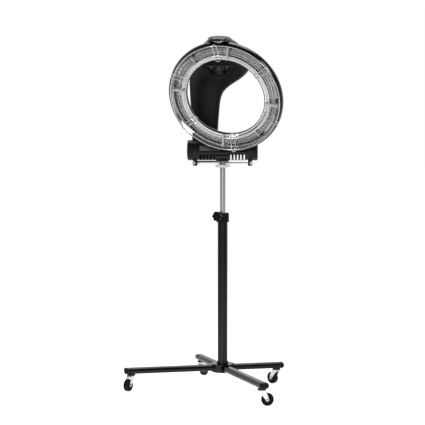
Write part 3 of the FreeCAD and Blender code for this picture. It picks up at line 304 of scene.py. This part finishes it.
def gloss_abs():
    """Black ABS from a polished mould: nearly a mirror, as wavy as a large shell comes out."""
    made = new_material("abs_black_gloss", "#060607", 0.12, Specular_IOR_Level=0.38)
    return surface_texture(
        made, grain=28.0, depth=0.12, shine=(0.10, 0.2), tones=("#050506", "#08080a"))


def black_nylon():
    """Glass-filled black nylon: dry, slightly mottled, with no gloss."""
    made = new_material("nylon_black_glass_filled", "#0b0b0b", 0.42, Specular_IOR_Level=0.14)
    return surface_texture(
        made, grain=0.7, depth=0.05, shine=(0.3, 0.45), tones=("#080808", "#0d0d0d"))


def wheel_polypropylene():
    """Black moulded polypropylene: waxy, its sheen uneven where it has rolled and been wiped."""
    made = new_material("polypropylene_black", "#090909", 0.35, Specular_IOR_Level=0.12)
    return surface_texture(
        made, grain=1.2, depth=0.04, shine=(0.25, 0.4), tones=("#070707", "#0c0c0c"))


def chrome_plate():
    """Chrome on polished steel tube: a cool grey mirror, softened by a faint haze."""
    made = new_material("chrome_plate", "#c6c9cc", 0.07, 1.0)
    return surface_texture(
        made, grain=40.0, depth=0.004, shine=(0.12, 0.18), tones=("#bfc2c6", "#cdd0d3"))


def zinc_plate(name="zinc_plate"):
    """Bright zinc on pressed steel: pale, a little blue, with a soft mottled shine."""
    made = new_material(name, "#dfe3e7", 0.35, 0.75)
    return surface_texture(
        made, grain=2.5, depth=0.03, shine=(0.26, 0.42), tones=("#cfd4d9", "#e6e9ec"))


def fork_zinc():
    """Bright zinc on the pressed caster fork, painted near black above the height of its swivel
    race.
    """
    material = zinc_plate("zinc_plate_black_race")
    coloured = material.node_tree.nodes["Principled BSDF"].inputs["Base Color"]
    place = add_node(material, "ShaderNodeTexCoord").outputs["Object"]
    height = add_node(material, "ShaderNodeSeparateXYZ", [("Vector", place)]).outputs["Z"]
    # Painted near black above the race height, where the swivel race sits.
    above = add_node(
        material, "ShaderNodeMath", [(0, height), (1, RACE_RISE * MM)], operation="GREATER_THAN")
    mixed = add_node(material, "ShaderNodeMix", [
        ("Factor", above.outputs[0]), ("A", coloured.links[0].from_socket),
        ("B", colour("#232325")),
    ], data_type="RGBA")
    material.node_tree.links.new(mixed.outputs["Result"], coloured)
    return material


def turned_steel():
    """Turned mild steel, lightly oiled: mid grey with a broad highlight."""
    made = new_material("steel_turned", "#9a9da1", 0.32, 1.0)
    return surface_texture(
        made, grain=0.8, depth=0.02, shine=(0.25, 0.4), tones=("#8c8f93", "#a6a9ad"))


def white_ceramic():
    """Unglazed steatite ceramic: chalky pale grey that scatters light a little."""
    made = new_material("steatite_ceramic", "#bcbcba", 0.5, Subsurface_Weight=0.08)
    return surface_texture(
        made, grain=0.8, depth=0.05, shine=(0.45, 0.65), tones=("#b2b2b0", "#c2c2c0"))


def clear_nylon():
    """Natural nylon disc: milky, pale and slightly see-through."""
    made = new_material("nylon_natural", "#d9dcdd", 0.3, Subsurface_Weight=0.3)
    return surface_texture(
        made, grain=2.0, depth=0.03, shine=(0.25, 0.38), tones=("#d0d3d4", "#e2e4e5"))


def heating_alloy():
    """Wound iron-chromium wire: a dull dark grey, as its oxide leaves it."""
    made = new_material("heating_alloy", "#5a5855", 0.7, 0.3)
    return surface_texture(
        made, grain=1.0, depth=0.02, shine=(0.6, 0.8), tones=("#4d4b48", "#605e5b"))


def machined_brass():
    """Machined brass of the bearing and the slip ring: warm and lightly dulled."""
    made = new_material("brass_machined", "#b08d4a", 0.3, 1.0)
    return surface_texture(
        made, grain=0.8, depth=0.02, shine=(0.22, 0.4), tones=("#9f7d3f", "#b99652"))


def quartz_glass():
    """Fused quartz tube: a thin clear wall that shows as a bright line along each edge."""
    material, shader = new_material("quartz_glass", "#eef2f5", 0.1, IOR=1.458)
    place = add_node(material, "ShaderNodeTexCoord").outputs["Object"]
    haze = add_node(material, "ShaderNodeTexNoise", [
        ("Vector", place), ("Scale", 1 / (GLASS_PATCH * MM)),
    ])
    spread = add_node(material, "ShaderNodeMapRange", [
        ("Value", haze.outputs["Fac"]), ("To Min", GLASS_SHINE[0]), ("To Max", GLASS_SHINE[1]),
    ])
    edge = add_node(material, "ShaderNodeLayerWeight", [("Blend", GLASS_EDGE)])
    wall = add_node(material, "ShaderNodeMapRange", [
        ("Value", edge.outputs["Facing"]),
        ("From Min", GLASS_FACING[0]), ("From Max", GLASS_FACING[1]),
        ("To Min", GLASS_HIDES[0]), ("To Max", GLASS_HIDES[1]),
    ])
    material.node_tree.links.new(spread.outputs["Result"], shader.inputs["Roughness"])
    material.node_tree.links.new(wall.outputs["Result"], shader.inputs["Alpha"])
    return material


def solder_mask():
    """Green solder mask over copper: glossy, with paler tracks, drawn wide enough to show."""
    material, shader = new_material("solder_mask_green", "#14532f", 0.25, Coat_Weight=0.3)
    place = add_node(material, "ShaderNodeTexCoord").outputs["Object"]
    tracks = add_node(material, "ShaderNodeTexVoronoi", [
        ("Vector", place), ("Scale", 1 / (TRACK_SPACING * MM)),
    ], distance="CHEBYCHEV")
    tint = add_node(material, "ShaderNodeValToRGB", [("Fac", tracks.outputs["Distance"])])
    set_tones(tint, TRACK_STOPS, ("#1d6b3e", "#104427"))
    material.node_tree.links.new(tint.outputs["Color"], shader.inputs["Base Color"])
    return material


def display_filter():
    """Smoked acrylic window over a pale segment display: glossy, and beige grey in the light."""
    material, shader = new_material("acrylic_window", "#4d483e", 0.08, Coat_Weight=0.6)
    place = add_node(material, "ShaderNodeTexCoord").outputs["Object"]
    haze = add_node(material, "ShaderNodeTexNoise", [
        ("Vector", place), ("Scale", 1 / (WINDOW_PATCH * MM)),
    ])
    tint = add_node(material, "ShaderNodeValToRGB", [("Fac", haze.outputs["Fac"])])
    set_tones(tint, (0.0, 1.0), ("#48443a", "#575247"))
    material.node_tree.links.new(tint.outputs["Color"], shader.inputs["Base Color"])
    return material


def spun_aluminium():
    """Spun and polished aluminium: a bright mirror drawn out by rings round the ring's axis,
    which are drawn wider apart than the spinning tool leaves them, so that they show."""
    material, shader = new_material("aluminium_spun", "#cccdce", 0.1, 1.0)
    place = add_node(material, "ShaderNodeTexCoord").outputs["Object"]
    inverse = RING_FRAME.inverted()
    ring_place = add_node(material, "ShaderNodeMapping", [
        ("Vector", place), ("Location", inverse.to_translation()), ("Rotation", inverse.to_euler()),
    ])
    lines = add_node(material, "ShaderNodeTexWave", [
        ("Vector", ring_place.outputs["Vector"]), ("Scale", WAVE_UNIT / (SPIN_LINE * MM)),
        ("Distortion", SPIN_WANDER), ("Detail", 1.0),
    ], wave_type="RINGS", rings_direction="Z")
    cloud = add_node(material, "ShaderNodeTexNoise", [
        ("Vector", place), ("Scale", 1 / (SPIN_PATCH * MM)), ("Detail", 3.0),
    ])
    spread = add_node(material, "ShaderNodeMapRange", [
        ("Value", cloud.outputs["Fac"]), ("From Min", CLOUD_RANGE[0]), ("From Max", CLOUD_RANGE[1]),
        ("To Min", SPIN_SHINE[0]), ("To Max", SPIN_SHINE[1]),
    ])
    bump = add_node(material, "ShaderNodeBump", [
        ("Height", lines.outputs["Fac"]), ("Strength", SPIN_STRENGTH),
        ("Distance", SPIN_DEPTH * MM),
    ])
    material.node_tree.links.new(spread.outputs["Result"], shader.inputs["Roughness"])
    material.node_tree.links.new(bump.outputs["Normal"], shader.inputs["Normal"])
    return material


materials = {
    "black_powder_coat": powder_coat(),
    "black_abs": moulded_abs(),
    "gloss_black": gloss_abs(),
    "chrome": chrome_plate(),
    "polished_aluminium": spun_aluminium(),
    "zinc": zinc_plate(),
    "steel": turned_steel(),
    "wheel_black": wheel_polypropylene(),
    "black_nylon": black_nylon(),
    "clear_nylon": clear_nylon(),
    "quartz": quartz_glass(),
    "ceramic": white_ceramic(),
    "display": display_filter(),
    # The slot keeps its name, but the frame of the control panel is moulded in black.
    "panel_silver": black_nylon(),
    "board_green": solder_mask(),
    "brass": machined_brass(),
}
alloy = heating_alloy()
forks = fork_zinc()


# ---- stage: floor, light and camera ----
def room_level(owner, direction):
    """Brightness of the room as a mirror sees it: a white wall behind, dark sides, and a soft
    glow in front."""
    away = add_node(owner, "ShaderNodeSeparateXYZ", [("Vector", direction)]).outputs["Y"]
    wall = add_node(owner, "ShaderNodeMapRange", [
        ("Value", away), ("From Min", WALL_FADE[0]), ("From Max", WALL_FADE[1]),
        ("To Min", DARK_SIDE), ("To Max", 1.0),
    ], interpolation_type="SMOOTHSTEP")
    front = add_node(owner, "ShaderNodeMapRange", [
        ("Value", away), ("From Min", FRONT_FADE[0]), ("From Max", FRONT_FADE[1]),
        ("To Min", 0.0), ("To Max", FRONT_LIGHT),
    ], interpolation_type="SMOOTHSTEP")
    levels = [(0, wall.outputs[0]), (1, front.outputs[0])]
    return add_node(owner, "ShaderNodeMath", levels, operation="ADD").outputs[0]


def seen_directly(owner, mirrored):
    """1 for a ray from the camera or through glass, and the given share for a mirrored ray."""
    ray = add_node(owner, "ShaderNodeLightPath")
    seen = add_node(owner, "ShaderNodeMath", [
        (0, ray.outputs["Is Camera Ray"]), (1, ray.outputs["Is Transmission Ray"]),
    ], operation="MAXIMUM")
    glossy = add_node(owner, "ShaderNodeMath", [
        (0, ray.outputs["Is Glossy Ray"]), (1, mirrored),
    ], operation="MULTIPLY")
    shares = [(0, seen.outputs[0]), (1, glossy.outputs[0])]
    return add_node(owner, "ShaderNodeMath", shares, operation="MAXIMUM").outputs[0]


def make_floor():
    """White floor: seen directly it glows, in a mirror it is bright near the object and then as
    bright as the room, and it keeps the object's shadow."""
    bpy.ops.object.select_all(action="DESELECT")
    bpy.ops.mesh.primitive_plane_add(size=FLOOR_SIZE, location=(0, 0, 0))
    floor = bpy.context.object
    floor.name = "floor"
    card, shader = new_material("painted_floor", "#e0e0e0", 0.9, Specular_IOR_Level=0.1)
    place = add_node(card, "ShaderNodeTexCoord").outputs["Object"]
    away = add_node(
        card, "ShaderNodeVectorMath", [(0, place), (1, LIT_FLOOR)], operation="DISTANCE")
    outward = add_node(card, "ShaderNodeVectorMath", [(0, place)], operation="NORMALIZE")
    mirrored = add_node(card, "ShaderNodeMapRange", [
        ("Value", away.outputs["Value"]), ("From Min", LIT_FADE[0]), ("From Max", LIT_FADE[1]),
        ("To Min", FLOOR_MIRRORED), ("To Max", room_level(card, outward.outputs["Vector"])),
    ], interpolation_type="SMOOTHSTEP")
    seen = seen_directly(card, mirrored.outputs["Result"])
    glow = add_node(card, "ShaderNodeMath", [(0, seen), (1, FLOOR_GLOW)], operation="MULTIPLY")
    shader.inputs["Emission Color"].default_value = (1, 1, 1, 1)
    card.node_tree.links.new(glow.outputs[0], shader.inputs["Emission Strength"])
    floor.data.materials.append(card)


def make_world():
    """White behind the object, a room in its mirrors, and a plain soft level on its surfaces."""
    world = bpy.data.worlds.new("studio")
    bpy.context.scene.world = world
    world.use_nodes = True
    direction = add_node(world, "ShaderNodeTexCoord").outputs["Generated"]
    shiny = add_node(world, "ShaderNodeLightPath").outputs["Is Glossy Ray"]
    plain = add_node(world, "ShaderNodeMix", [
        ("Factor", seen_directly(world, 0.0)), ("A", WORLD_LEVEL), ("B", 1.0),
    ])
    level = add_node(world, "ShaderNodeMix", [
        ("Factor", shiny), ("A", plain.outputs["Result"]), ("B", room_level(world, direction)),
    ])
    background = world.node_tree.nodes["Background"]
    background.inputs["Color"].default_value = (1, 1, 1, 1)
    world.node_tree.links.new(level.outputs["Result"], background.inputs["Strength"])


def add_softbox(name, place, aim, size, power):
    """Oblong area light that points from its place at its aim."""
    data = bpy.data.lights.new(name, "AREA")
    data.shape = "RECTANGLE"
    data.size, data.size_y = size
    data.energy = power
    lamp = bpy.data.objects.new(name, data)
    bpy.context.scene.collection.objects.link(lamp)
    lamp.location = place
    lamp.rotation_euler = (Vector(aim) - Vector(place)).to_track_quat("-Z", "Y").to_euler()


def add_camera():
    """Camera in front of the object, turned and tilted down a little."""
    data = bpy.data.cameras.new("camera")
    data.lens = CAMERA_LENS
    data.sensor_width = CAMERA_SENSOR
    data.clip_end = CAMERA_REACH
    camera = bpy.data.objects.new("camera", data)
    bpy.context.scene.collection.objects.link(camera)
    camera.location = CAMERA_PLACE
    tilt, turn = math.radians(CAMERA_TILT), math.radians(CAMERA_TURN)
    camera.rotation_euler = (RIGHT_ANGLE - tilt, 0, turn)
    bpy.context.scene.camera = camera


make_floor()
make_world()
for softbox in SOFTBOXES:
    add_softbox(*softbox)
add_camera()
bpy.context.scene.view_settings.view_transform = "Standard"


# ---- modelling steps ----
def only(piece):
    """Select one object and nothing else."""
    if bpy.context.mode != "OBJECT":
        bpy.ops.object.mode_set(mode="OBJECT")
    bpy.ops.object.select_all(action="DESELECT")
    piece.select_set(True)
    bpy.context.view_layer.objects.active = piece


def edit_all(kind="VERT"):
    """Edit the active piece with all of it selected, as vertices, edges or faces."""
    bpy.ops.object.mode_set(mode="EDIT")
    bpy.ops.mesh.select_mode(type=kind)
    bpy.ops.mesh.select_all(action="SELECT")


def end_edit(smooth):
    """Leave edit mode and smooth all edges flatter than the angle."""
    bpy.ops.object.mode_set(mode="OBJECT")
    bpy.ops.object.shade_smooth_by_angle(angle=math.radians(smooth))


def weld():
    """Join vertices that lie on each other."""
    bpy.ops.mesh.select_all(action="SELECT")
    bpy.ops.mesh.remove_doubles(threshold=WELD)


def settle(piece, matrix=Matrix()):
    """Put a piece at its place and leave its object at the origin, unturned."""
    only(piece)
    piece.matrix_world = matrix @ piece.matrix_world
    bpy.ops.object.transform_apply(location=True, rotation=True, scale=True)
    return piece


def copied(piece, matrix):
    """Copy of a piece, with its own mesh, at another place."""
    made = piece.copy()
    made.data = piece.data.copy()
    bpy.context.scene.collection.objects.link(made)
    return settle(made, matrix)


def joined(pieces, name):
    """One piece of several."""
    only(pieces[0])
    for piece in pieces:
        piece.select_set(True)
    bpy.ops.object.join()
    pieces[0].name = name
    return pieces[0]


def repeated(patterns, places, name):
    """One piece made of copies of the patterns at every place; the patterns themselves go."""
    copies = [copied(pattern, place) for place in places for pattern in patterns]
    for pattern in patterns:
        bpy.data.objects.remove(pattern)
    return joined(copies, name)


def place_on(piece, body, slot, node, material=None):
    """Give a finished piece the material of its slot, unless another is given, and its body; and
    hide the node it stands for.
    """
    piece.data.materials.clear()
    piece.data.materials.append(material or materials[slot])
    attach(piece, body)
    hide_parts(node)
    return piece


def arc_points(through, count):
    """Points of the arc through three points, in count steps."""
    (ax, ay), (bx, by), (cx, cy) = through
    d = 2 * (ax * (by - cy) + bx * (cy - ay) + cx * (ay - by))
    a2, b2, c2 = ax * ax + ay * ay, bx * bx + by * by, cx * cx + cy * cy
    x = (a2 * (by - cy) + b2 * (cy - ay) + c2 * (ay - by)) / d
    y = (a2 * (cx - bx) + b2 * (ax - cx) + c2 * (bx - ax)) / d
    start = math.atan2(ay - y, ax - x)
    turn = (math.atan2(cy - y, cx - x) - start) % FULL_TURN
    if (math.atan2(by - y, bx - x) - start) % FULL_TURN > turn:
        turn -= FULL_TURN
    radius = math.hypot(ax - x, ay - y)
    angles = [start + turn * i / count for i in range(count)]
    arc = [(x + radius * math.cos(angle), y + radius * math.sin(angle)) for angle in angles]
    return arc + [through[2]]


def lathe(name, outline, steps, matrix=Matrix(), smooth=TURNED_ANGLE):
    """Piece turned about Z from a closed outline of (radius, height) points in mm."""
    bpy.ops.object.select_all(action="DESELECT")
    bpy.ops.mesh.primitive_plane_add(size=MM)
    piece = bpy.context.object
    piece.name = name
    edit_all()
    bpy.ops.mesh.merge(type="CENTER")
    bpy.ops.transform.translate(value=(outline[0][0] * MM, 0, outline[0][1] * MM))
    for (r0, z0), (r1, z1) in zip(outline, outline[1:] + outline[:1]):
        step = ((r1 - r0) * MM, 0, (z1 - z0) * MM)
        bpy.ops.mesh.extrude_vertices_move(TRANSFORM_OT_translate={"value": step})
    weld()
    bpy.ops.mesh.spin(steps=steps, angle=FULL_TURN, center=(0, 0, 0), axis=(0, 0, 1))
    weld()
    bpy.ops.mesh.normals_make_consistent(inside=False)
    end_edit(smooth)
    return settle(piece, matrix)


def bent_tube(name, radius, start, heading, moves, sides, capped=True):
    """Tube (mm) drawn from start along moves: ("run", (x, y, z)) or ("bend", centre, axis,
    degrees, steps)."""
    bpy.ops.object.select_all(action="DESELECT")
    bpy.ops.mesh.primitive_circle_add(
        vertices=sides, radius=radius * MM, fill_type="NGON" if capped else "NOTHING",
        location=Vector(start) * MM, rotation=Vector(heading).to_track_quat("Z", "Y").to_euler(),
    )
    piece = bpy.context.object
    piece.name = name
    bpy.ops.object.transform_apply(location=True, rotation=True, scale=True)
    edit_all("EDGE")
    for kind, *move in moves:
        if kind == "run":
            run = Vector(move[0]) * MM
            bpy.ops.mesh.extrude_edges_move(TRANSFORM_OT_translate={"value": run})
        else:
            centre, axis, degrees, steps = move
            bpy.ops.mesh.spin(
                steps=steps, angle=-math.radians(degrees), center=Vector(centre) * MM, axis=axis)
    if capped:
        bpy.ops.mesh.edge_face_add()
    weld()
    bpy.ops.mesh.normals_make_consistent(inside=False)
    end_edit(SMOOTH_ANGLE)
    return piece


# ---- pieces that are the node itself, finished ----
record = frame["record"]
node_slots = {row["node"]: row["material_slot"] for row in record["subparts"]}
node_bodies = {
    name: body for body, members in record["behaviour"]["bodies"].items() for name in members
}


def softened(name, material=None):
    """Copy of a node with its facets joined, its edges rounded and its faces smooth."""
    piece = frame["nodes"][name].copy()
    piece.data = piece.data.copy()
    piece.name = name + ".finish"
    piece.parent = None
    for key in list(piece.keys()):
        del piece[key]
    bpy.context.scene.collection.objects.link(piece)
    only(piece)
    edit_all()
    bpy.ops.mesh.remove_doubles(threshold=FACET_WELD)
    bpy.ops.mesh.dissolve_limited(angle_limit=math.radians(FACET_ANGLE))
    bpy.ops.object.mode_set(mode="OBJECT")
    bevel = piece.modifiers.new("edges", "BEVEL")
    bevel.width = EDGE_ROUND * MM
    bevel.segments = 2
    bevel.limit_method = "ANGLE"
    bevel.angle_limit = math.radians(EDGE_CORNER)
    bpy.ops.object.modifier_apply(modifier=bevel.name)
    bpy.ops.object.shade_smooth_by_angle(angle=math.radians(SMOOTH_ANGLE))
    weighted = piece.modifiers.new("normals", "WEIGHTED_NORMAL")
    weighted.mode = "FACE_AREA"
    weighted.keep_sharp = True
    bpy.ops.object.modifier_apply(modifier=weighted.name)
    return place_on(piece, node_bodies[name], node_slots[name], name, material)


# ---- rod ----
def make_rod():
    """Drawn tube, its ends deburred."""
    bore = ROD_RADIUS - ROD_WALL
    low, high = ROD_ENDS
    outline = [(bore, low), (ROD_RADIUS - ROD_EDGE, low), (ROD_RADIUS, low + ROD_EDGE)]
    outline += [(ROD_RADIUS, high - ROD_EDGE), (ROD_RADIUS - ROD_EDGE, high), (bore, high)]
    piece = lathe("rod", outline, steps=96, smooth=30.0)
    return place_on(piece, "rod", node_slots["rod_tube"], "rod_tube")


# ---- ring ----
def turned_ring(degrees):
    """The ring's frame, turned about the ring's own axis."""
    return RING_FRAME @ Matrix.Rotation(math.radians(degrees), 4, "Z")


def shell_outline(inset):
    """Ring shell from its outer lip, round the back, to the lip of its hole; with an inset it is
    the inside of the wall."""
    aside = inset * SLANT_SHARE
    outer, inner = SHELL_BACK_RADII
    ease_out, ease_down = SHELL_BACK_EASE
    side_out, side_down = SHELL_HOLE_SIDE
    back = RIM_DEPTH + SHELL_BACK_HEIGHT - inset
    hole = SHELL_HOLE + inset
    points = arc_points((
        (SHELL_LIP[0] - inset, RIM_DEPTH + SHELL_LIP[1]),
        (SHELL_BULGE[0] - inset, RIM_DEPTH + SHELL_BULGE[1]),
        (SHELL_SHOULDER[0] - aside, RIM_DEPTH + SHELL_SHOULDER[1] - inset),
    ), count=18)
    points += [(outer + ease_out, back - ease_down), (outer, back)]
    points += arc_points((
        (inner + aside, back),
        (hole + side_out, back - side_down),
        (hole, RIM_DEPTH + SHELL_HOLE_BULGE),
    ), count=10)
    return points + [(hole, RIM_DEPTH + SHELL_HOLE_LIP)]


def grooved(points, index, width, depth):
    """Outline with a narrow groove cut across it after one of its points."""
    a, b = Vector(points[index]), Vector(points[index + 1])
    along = (b - a).normalized()
    inward = Vector((along.y, -along.x))
    if inward.dot(a) > 0:
        inward = -inward
    near = a + (b - a) * GROOVE_SHARE
    far = near + along * width
    cut = [near, near + inward * depth, far + inward * depth, far]
    return points[:index + 1] + [tuple(p) for p in cut] + points[index + 1:]


def make_ring_shell():
    """Black ring housing, with the parting line of its two mouldings round the outside."""
    outside = grooved(shell_outline(0), GROOVE_PLACE, GROOVE_WIDTH, GROOVE_DEPTH)
    outline = outside + shell_outline(SHELL_WALL)[::-1]
    piece = lathe("ring_housing", outline, steps=160, matrix=RING_FRAME, smooth=28.0)
    return place_on(piece, "ring", "gloss_black", "ring_shell")


def make_reflector():
    """Spun reflector with a rolled outer bead, a deep trough for the heaters and a stepped
    inner rim."""
    face = arc_points(OUTER_BEAD, count=6) + list(TROUGH_EDGE) + arc_points(TROUGH, count=16)
    face += arc_points(INNER_BEAD, count=6) + list(INNER_RIM)
    front = [(r, RIM_DEPTH + h) for r, h in face]
    back = [(r, h + REFLECTOR_SHEET) for r, h in front]
    outline = front + back[::-1]
    piece = lathe("reflector_bowl", outline, steps=192, matrix=RING_FRAME, smooth=32.0)
    return place_on(piece, "ring", "polished_aluminium", "ring_reflector")


def wound_coil(radius, height):
    """Resistance wire wound round an arc."""
    sweep = math.radians(HEATER_SWEEP)
    count = round(sweep * radius / COIL_PITCH) * COIL_SIDES
    curve = bpy.data.curves.new("winding", "CURVE")
    curve.dimensions = "3D"
    curve.bevel_depth = COIL_WIRE * MM
    curve.bevel_resolution = 0
    spline = curve.splines.new("POLY")
    spline.points.add(count - 1)
    for i in range(count):
        along = sweep * i / (count - 1)
        turn = FULL_TURN * i / COIL_SIDES
        r = radius + COIL_RADIUS * math.cos(turn)
        rise = height + COIL_RADIUS * math.sin(turn)
        spot = Vector((r * math.cos(along), r * math.sin(along), rise)) * MM
        spline.points[i].co = (*spot, 1.0)
    coil = bpy.data.objects.new("winding", curve)
    bpy.context.scene.collection.objects.link(coil)
    only(coil)
    bpy.ops.object.convert(target="MESH")
    bpy.ops.object.shade_smooth()
    return bpy.context.object


def make_heaters():
    """Hairpin quartz tubes round the trough, each with its wound wire inside."""
    z = RIM_DEPTH + HEATER_DEPTH
    near = HEATER_RADIUS - HEATER_SPACING / 2
    far = HEATER_RADIUS + HEATER_SPACING / 2
    end = math.radians(HEATER_SWEEP)
    bend = (HEATER_RADIUS * math.cos(end), HEATER_RADIUS * math.sin(end), z)
    centre, axis = (0, 0, z), (0, 0, 1)
    route = [
        ("bend", centre, axis, HEATER_SWEEP, 40),
        ("bend", bend, axis, -180.0, 12),
        ("bend", centre, axis, -HEATER_SWEEP, 40),
    ]
    tube = bent_tube("heater_tube", HEATER_TUBE, (near, 0, z), (0, 1, 0), route, sides=16)
    bore = bent_tube("heater_bore", HEATER_BORE, (near, 0, z), (0, 1, 0), route, sides=12)
    edit_all()
    bpy.ops.mesh.flip_normals()
    bpy.ops.object.mode_set(mode="OBJECT")
    coils = [wound_coil(radius, z) for radius in (near, far)]
    first = HEATER_PHASE + HEATER_START_GAP
    places = [turned_ring(first + i * 360.0 / HEATER_COUNT) for i in range(HEATER_COUNT)]
    tubes = repeated([tube, bore], places, "quartz_heaters")
    place_on(tubes, "ring", "quartz", "heater_tubes")
    windings = repeated(coils, places, "heater_windings")
    place_on(windings, "ring", "steel", "heater_coils", alloy)


def make_guards():
    """Welded wire loops across the trough, which keep hair off the heaters."""
    rib_radius, rib_depth = GUARD_RIB
    fall = rib_depth / (GUARD_EDGE - rib_radius)
    front = RIM_DEPTH - GUARD_WIRE - GUARD_GAP
    top = Vector((GUARD_OUT, 0, front - fall * (GUARD_OUT - GUARD_EDGE)))
    bottom = Vector((GUARD_IN, 0, front + fall * (GUARD_EDGE - GUARD_IN)))
    half = GUARD_SPACING / 2
    heading = (bottom - top).normalized()
    run = heading * ((bottom - top).length - GUARD_SPACING)
    axis = heading.cross(Vector((0, 1, 0)))
    outer, inner = top + heading * half, bottom - heading * half
    loop = bent_tube("guard_loop", GUARD_WIRE, outer + Vector((0, half, 0)), heading, [
        ("run", run),
        ("bend", inner, axis, -180.0, 16),
        ("run", -run),
        ("bend", outer, axis, -180.0, 16),
    ], sides=12, capped=False)
    places = [turned_ring(GUARD_PHASE + i * 360.0 / GUARD_COUNT) for i in range(GUARD_COUNT)]
    loops = repeated([loop], places, "guard_loops")
    place_on(loops, "ring", "chrome", "wire_guards")


# ---- casters ----
def axle_centre(name):
    """Middle of a caster's axle, with the axle along Y."""
    angle, reach, swivel = LEGS[name]
    a = math.radians(angle)
    stem = Vector((math.cos(a), math.sin(a), 0)) * (reach - STEM_INBOARD) * MM
    to_axle = Matrix.Translation(Vector((CASTER_TRAIL, 0, WHEEL_RADIUS)) * MM)
    return Matrix.Translation(stem) @ Matrix.Rotation(math.radians(swivel), 4, "Z") @ to_axle


def spoke():
    """Rib of the wheel's web: a block with rounded edges."""
    bpy.ops.object.select_all(action="DESELECT")
    bpy.ops.mesh.primitive_cube_add(size=2 * MM, scale=SPOKE_HALF)
    piece = settle(bpy.context.object)
    edit_all()
    bpy.ops.mesh.bevel(offset=SPOKE_EDGE * MM, segments=3, affect="EDGES")
    end_edit(SMOOTH_ANGLE)
    return piece


def wheel():
    """Moulded wheel about Y, turned from a hub, a dished web, a rim and a rounded tread, with
    ribs on each side of the web."""
    half = WHEEL_WIDTH / 2
    side = [(r, half - depth) for r, depth in WHEEL_HUB + WHEEL_WEB + WHEEL_RIM]
    side += arc_points([(r, half - depth) for r, depth in WHEEL_SHOULDER], count=6)
    side += WHEEL_PARTING
    outline = side + [(r, -h) for r, h in side[::-1]]
    upright = Matrix.Rotation(RIGHT_ANGLE, 4, "X")
    turned = lathe("wheel", outline, steps=72, matrix=upright)
    places = []
    for face in (-1, 1):
        out = Matrix.Translation(Vector((SPOKE_RADIUS, 0, face * (half - SPOKE_DEPTH))) * MM)
        for i in range(SPOKE_COUNT):
            places.append(upright @ Matrix.Rotation(FULL_TURN * i / SPOKE_COUNT, 4, "Z") @ out)
    return joined([turned, repeated([spoke()], places, "spokes")], "wheel")


def hex_head():
    """Hexagon head with its corners turned down, standing on z = 0."""
    bpy.ops.object.select_all(action="DESELECT")
    radius = HEX_WIDTH / math.sqrt(3)
    bpy.ops.mesh.primitive_cylinder_add(
        vertices=6, radius=radius * MM, depth=HEX_HEIGHT * MM,
        location=(0, 0, HEX_HEIGHT * MM / 2))
    piece = settle(bpy.context.object)
    edit_all("FACE")
    bpy.ops.mesh.select_all(action="DESELECT")
    bpy.ops.object.mode_set(mode="OBJECT")
    for face in piece.data.polygons:
        face.select = face.normal.z > FACES_UP
    bpy.ops.object.mode_set(mode="EDIT")
    bpy.ops.mesh.inset(thickness=radius * HEX_CHAMFER * MM)
    bpy.ops.transform.translate(value=(0, 0, HEX_HEIGHT * HEX_CHAMFER * MM))
    bpy.ops.mesh.select_all(action="SELECT")
    bpy.ops.mesh.bevel(offset=HEX_HEIGHT * HEX_EDGE * MM, segments=2, affect="EDGES")
    end_edit(TURNED_ANGLE)
    return piece


def axle():
    """Axle pin about Y with a hexagon head on one side and a hexagon nut on the other."""
    outline = [
        (0.0, -AXLE_HALF), (AXLE_RADIUS, -AXLE_HALF), (AXLE_RADIUS, AXLE_HALF), (0.0, AXLE_HALF),
    ]
    pin = lathe("pin", outline, steps=32, matrix=Matrix.Rotation(RIGHT_ANGLE, 4, "X"))
    places = []
    for side in (-1, 1):
        face = Matrix.Translation(Vector((0, side * AXLE_HALF, 0)) * MM)
        places.append(face @ Matrix.Rotation(-side * RIGHT_ANGLE, 4, "X"))
    return joined([pin, repeated([hex_head()], places, "heads")], "axle")


def make_casters():
    """Wheel and axle of each caster, modelled once and copied."""
    wheel_pattern, axle_pattern = wheel(), axle()
    for name in LEGS:
        centre = axle_centre(name)
        for pattern, kind, body, slot in (
            (wheel_pattern, "wheel_", "wheel_", "wheel_black"),
            (axle_pattern, "axle_", "caster_", "steel"),
        ):
            piece = copied(pattern, centre)
            piece.name = kind + name
            place_on(piece, body + name, slot, "caster_" + kind + name)
    bpy.data.objects.remove(wheel_pattern)
    bpy.data.objects.remove(axle_pattern)


# ---- the whole ----
for node_name, cad_node in frame["nodes"].items():
    cad_node.data.materials.clear()
    cad_node.data.materials.append(materials[node_slots[node_name]])

modelled = {
    "rod_tube", "ring_shell", "ring_reflector", "heater_tubes", "heater_coils", "wire_guards",
}
modelled |= {"caster_" + kind + name for kind in ("wheel_", "axle_") for name in LEGS}
for node_name in frame["nodes"]:
    if node_name not in modelled:
        softened(node_name, forks if node_name.startswith("caster_fork") else None)

make_rod()
make_ring_shell()
make_reflector()
make_heaters()
make_guards()
make_casters()
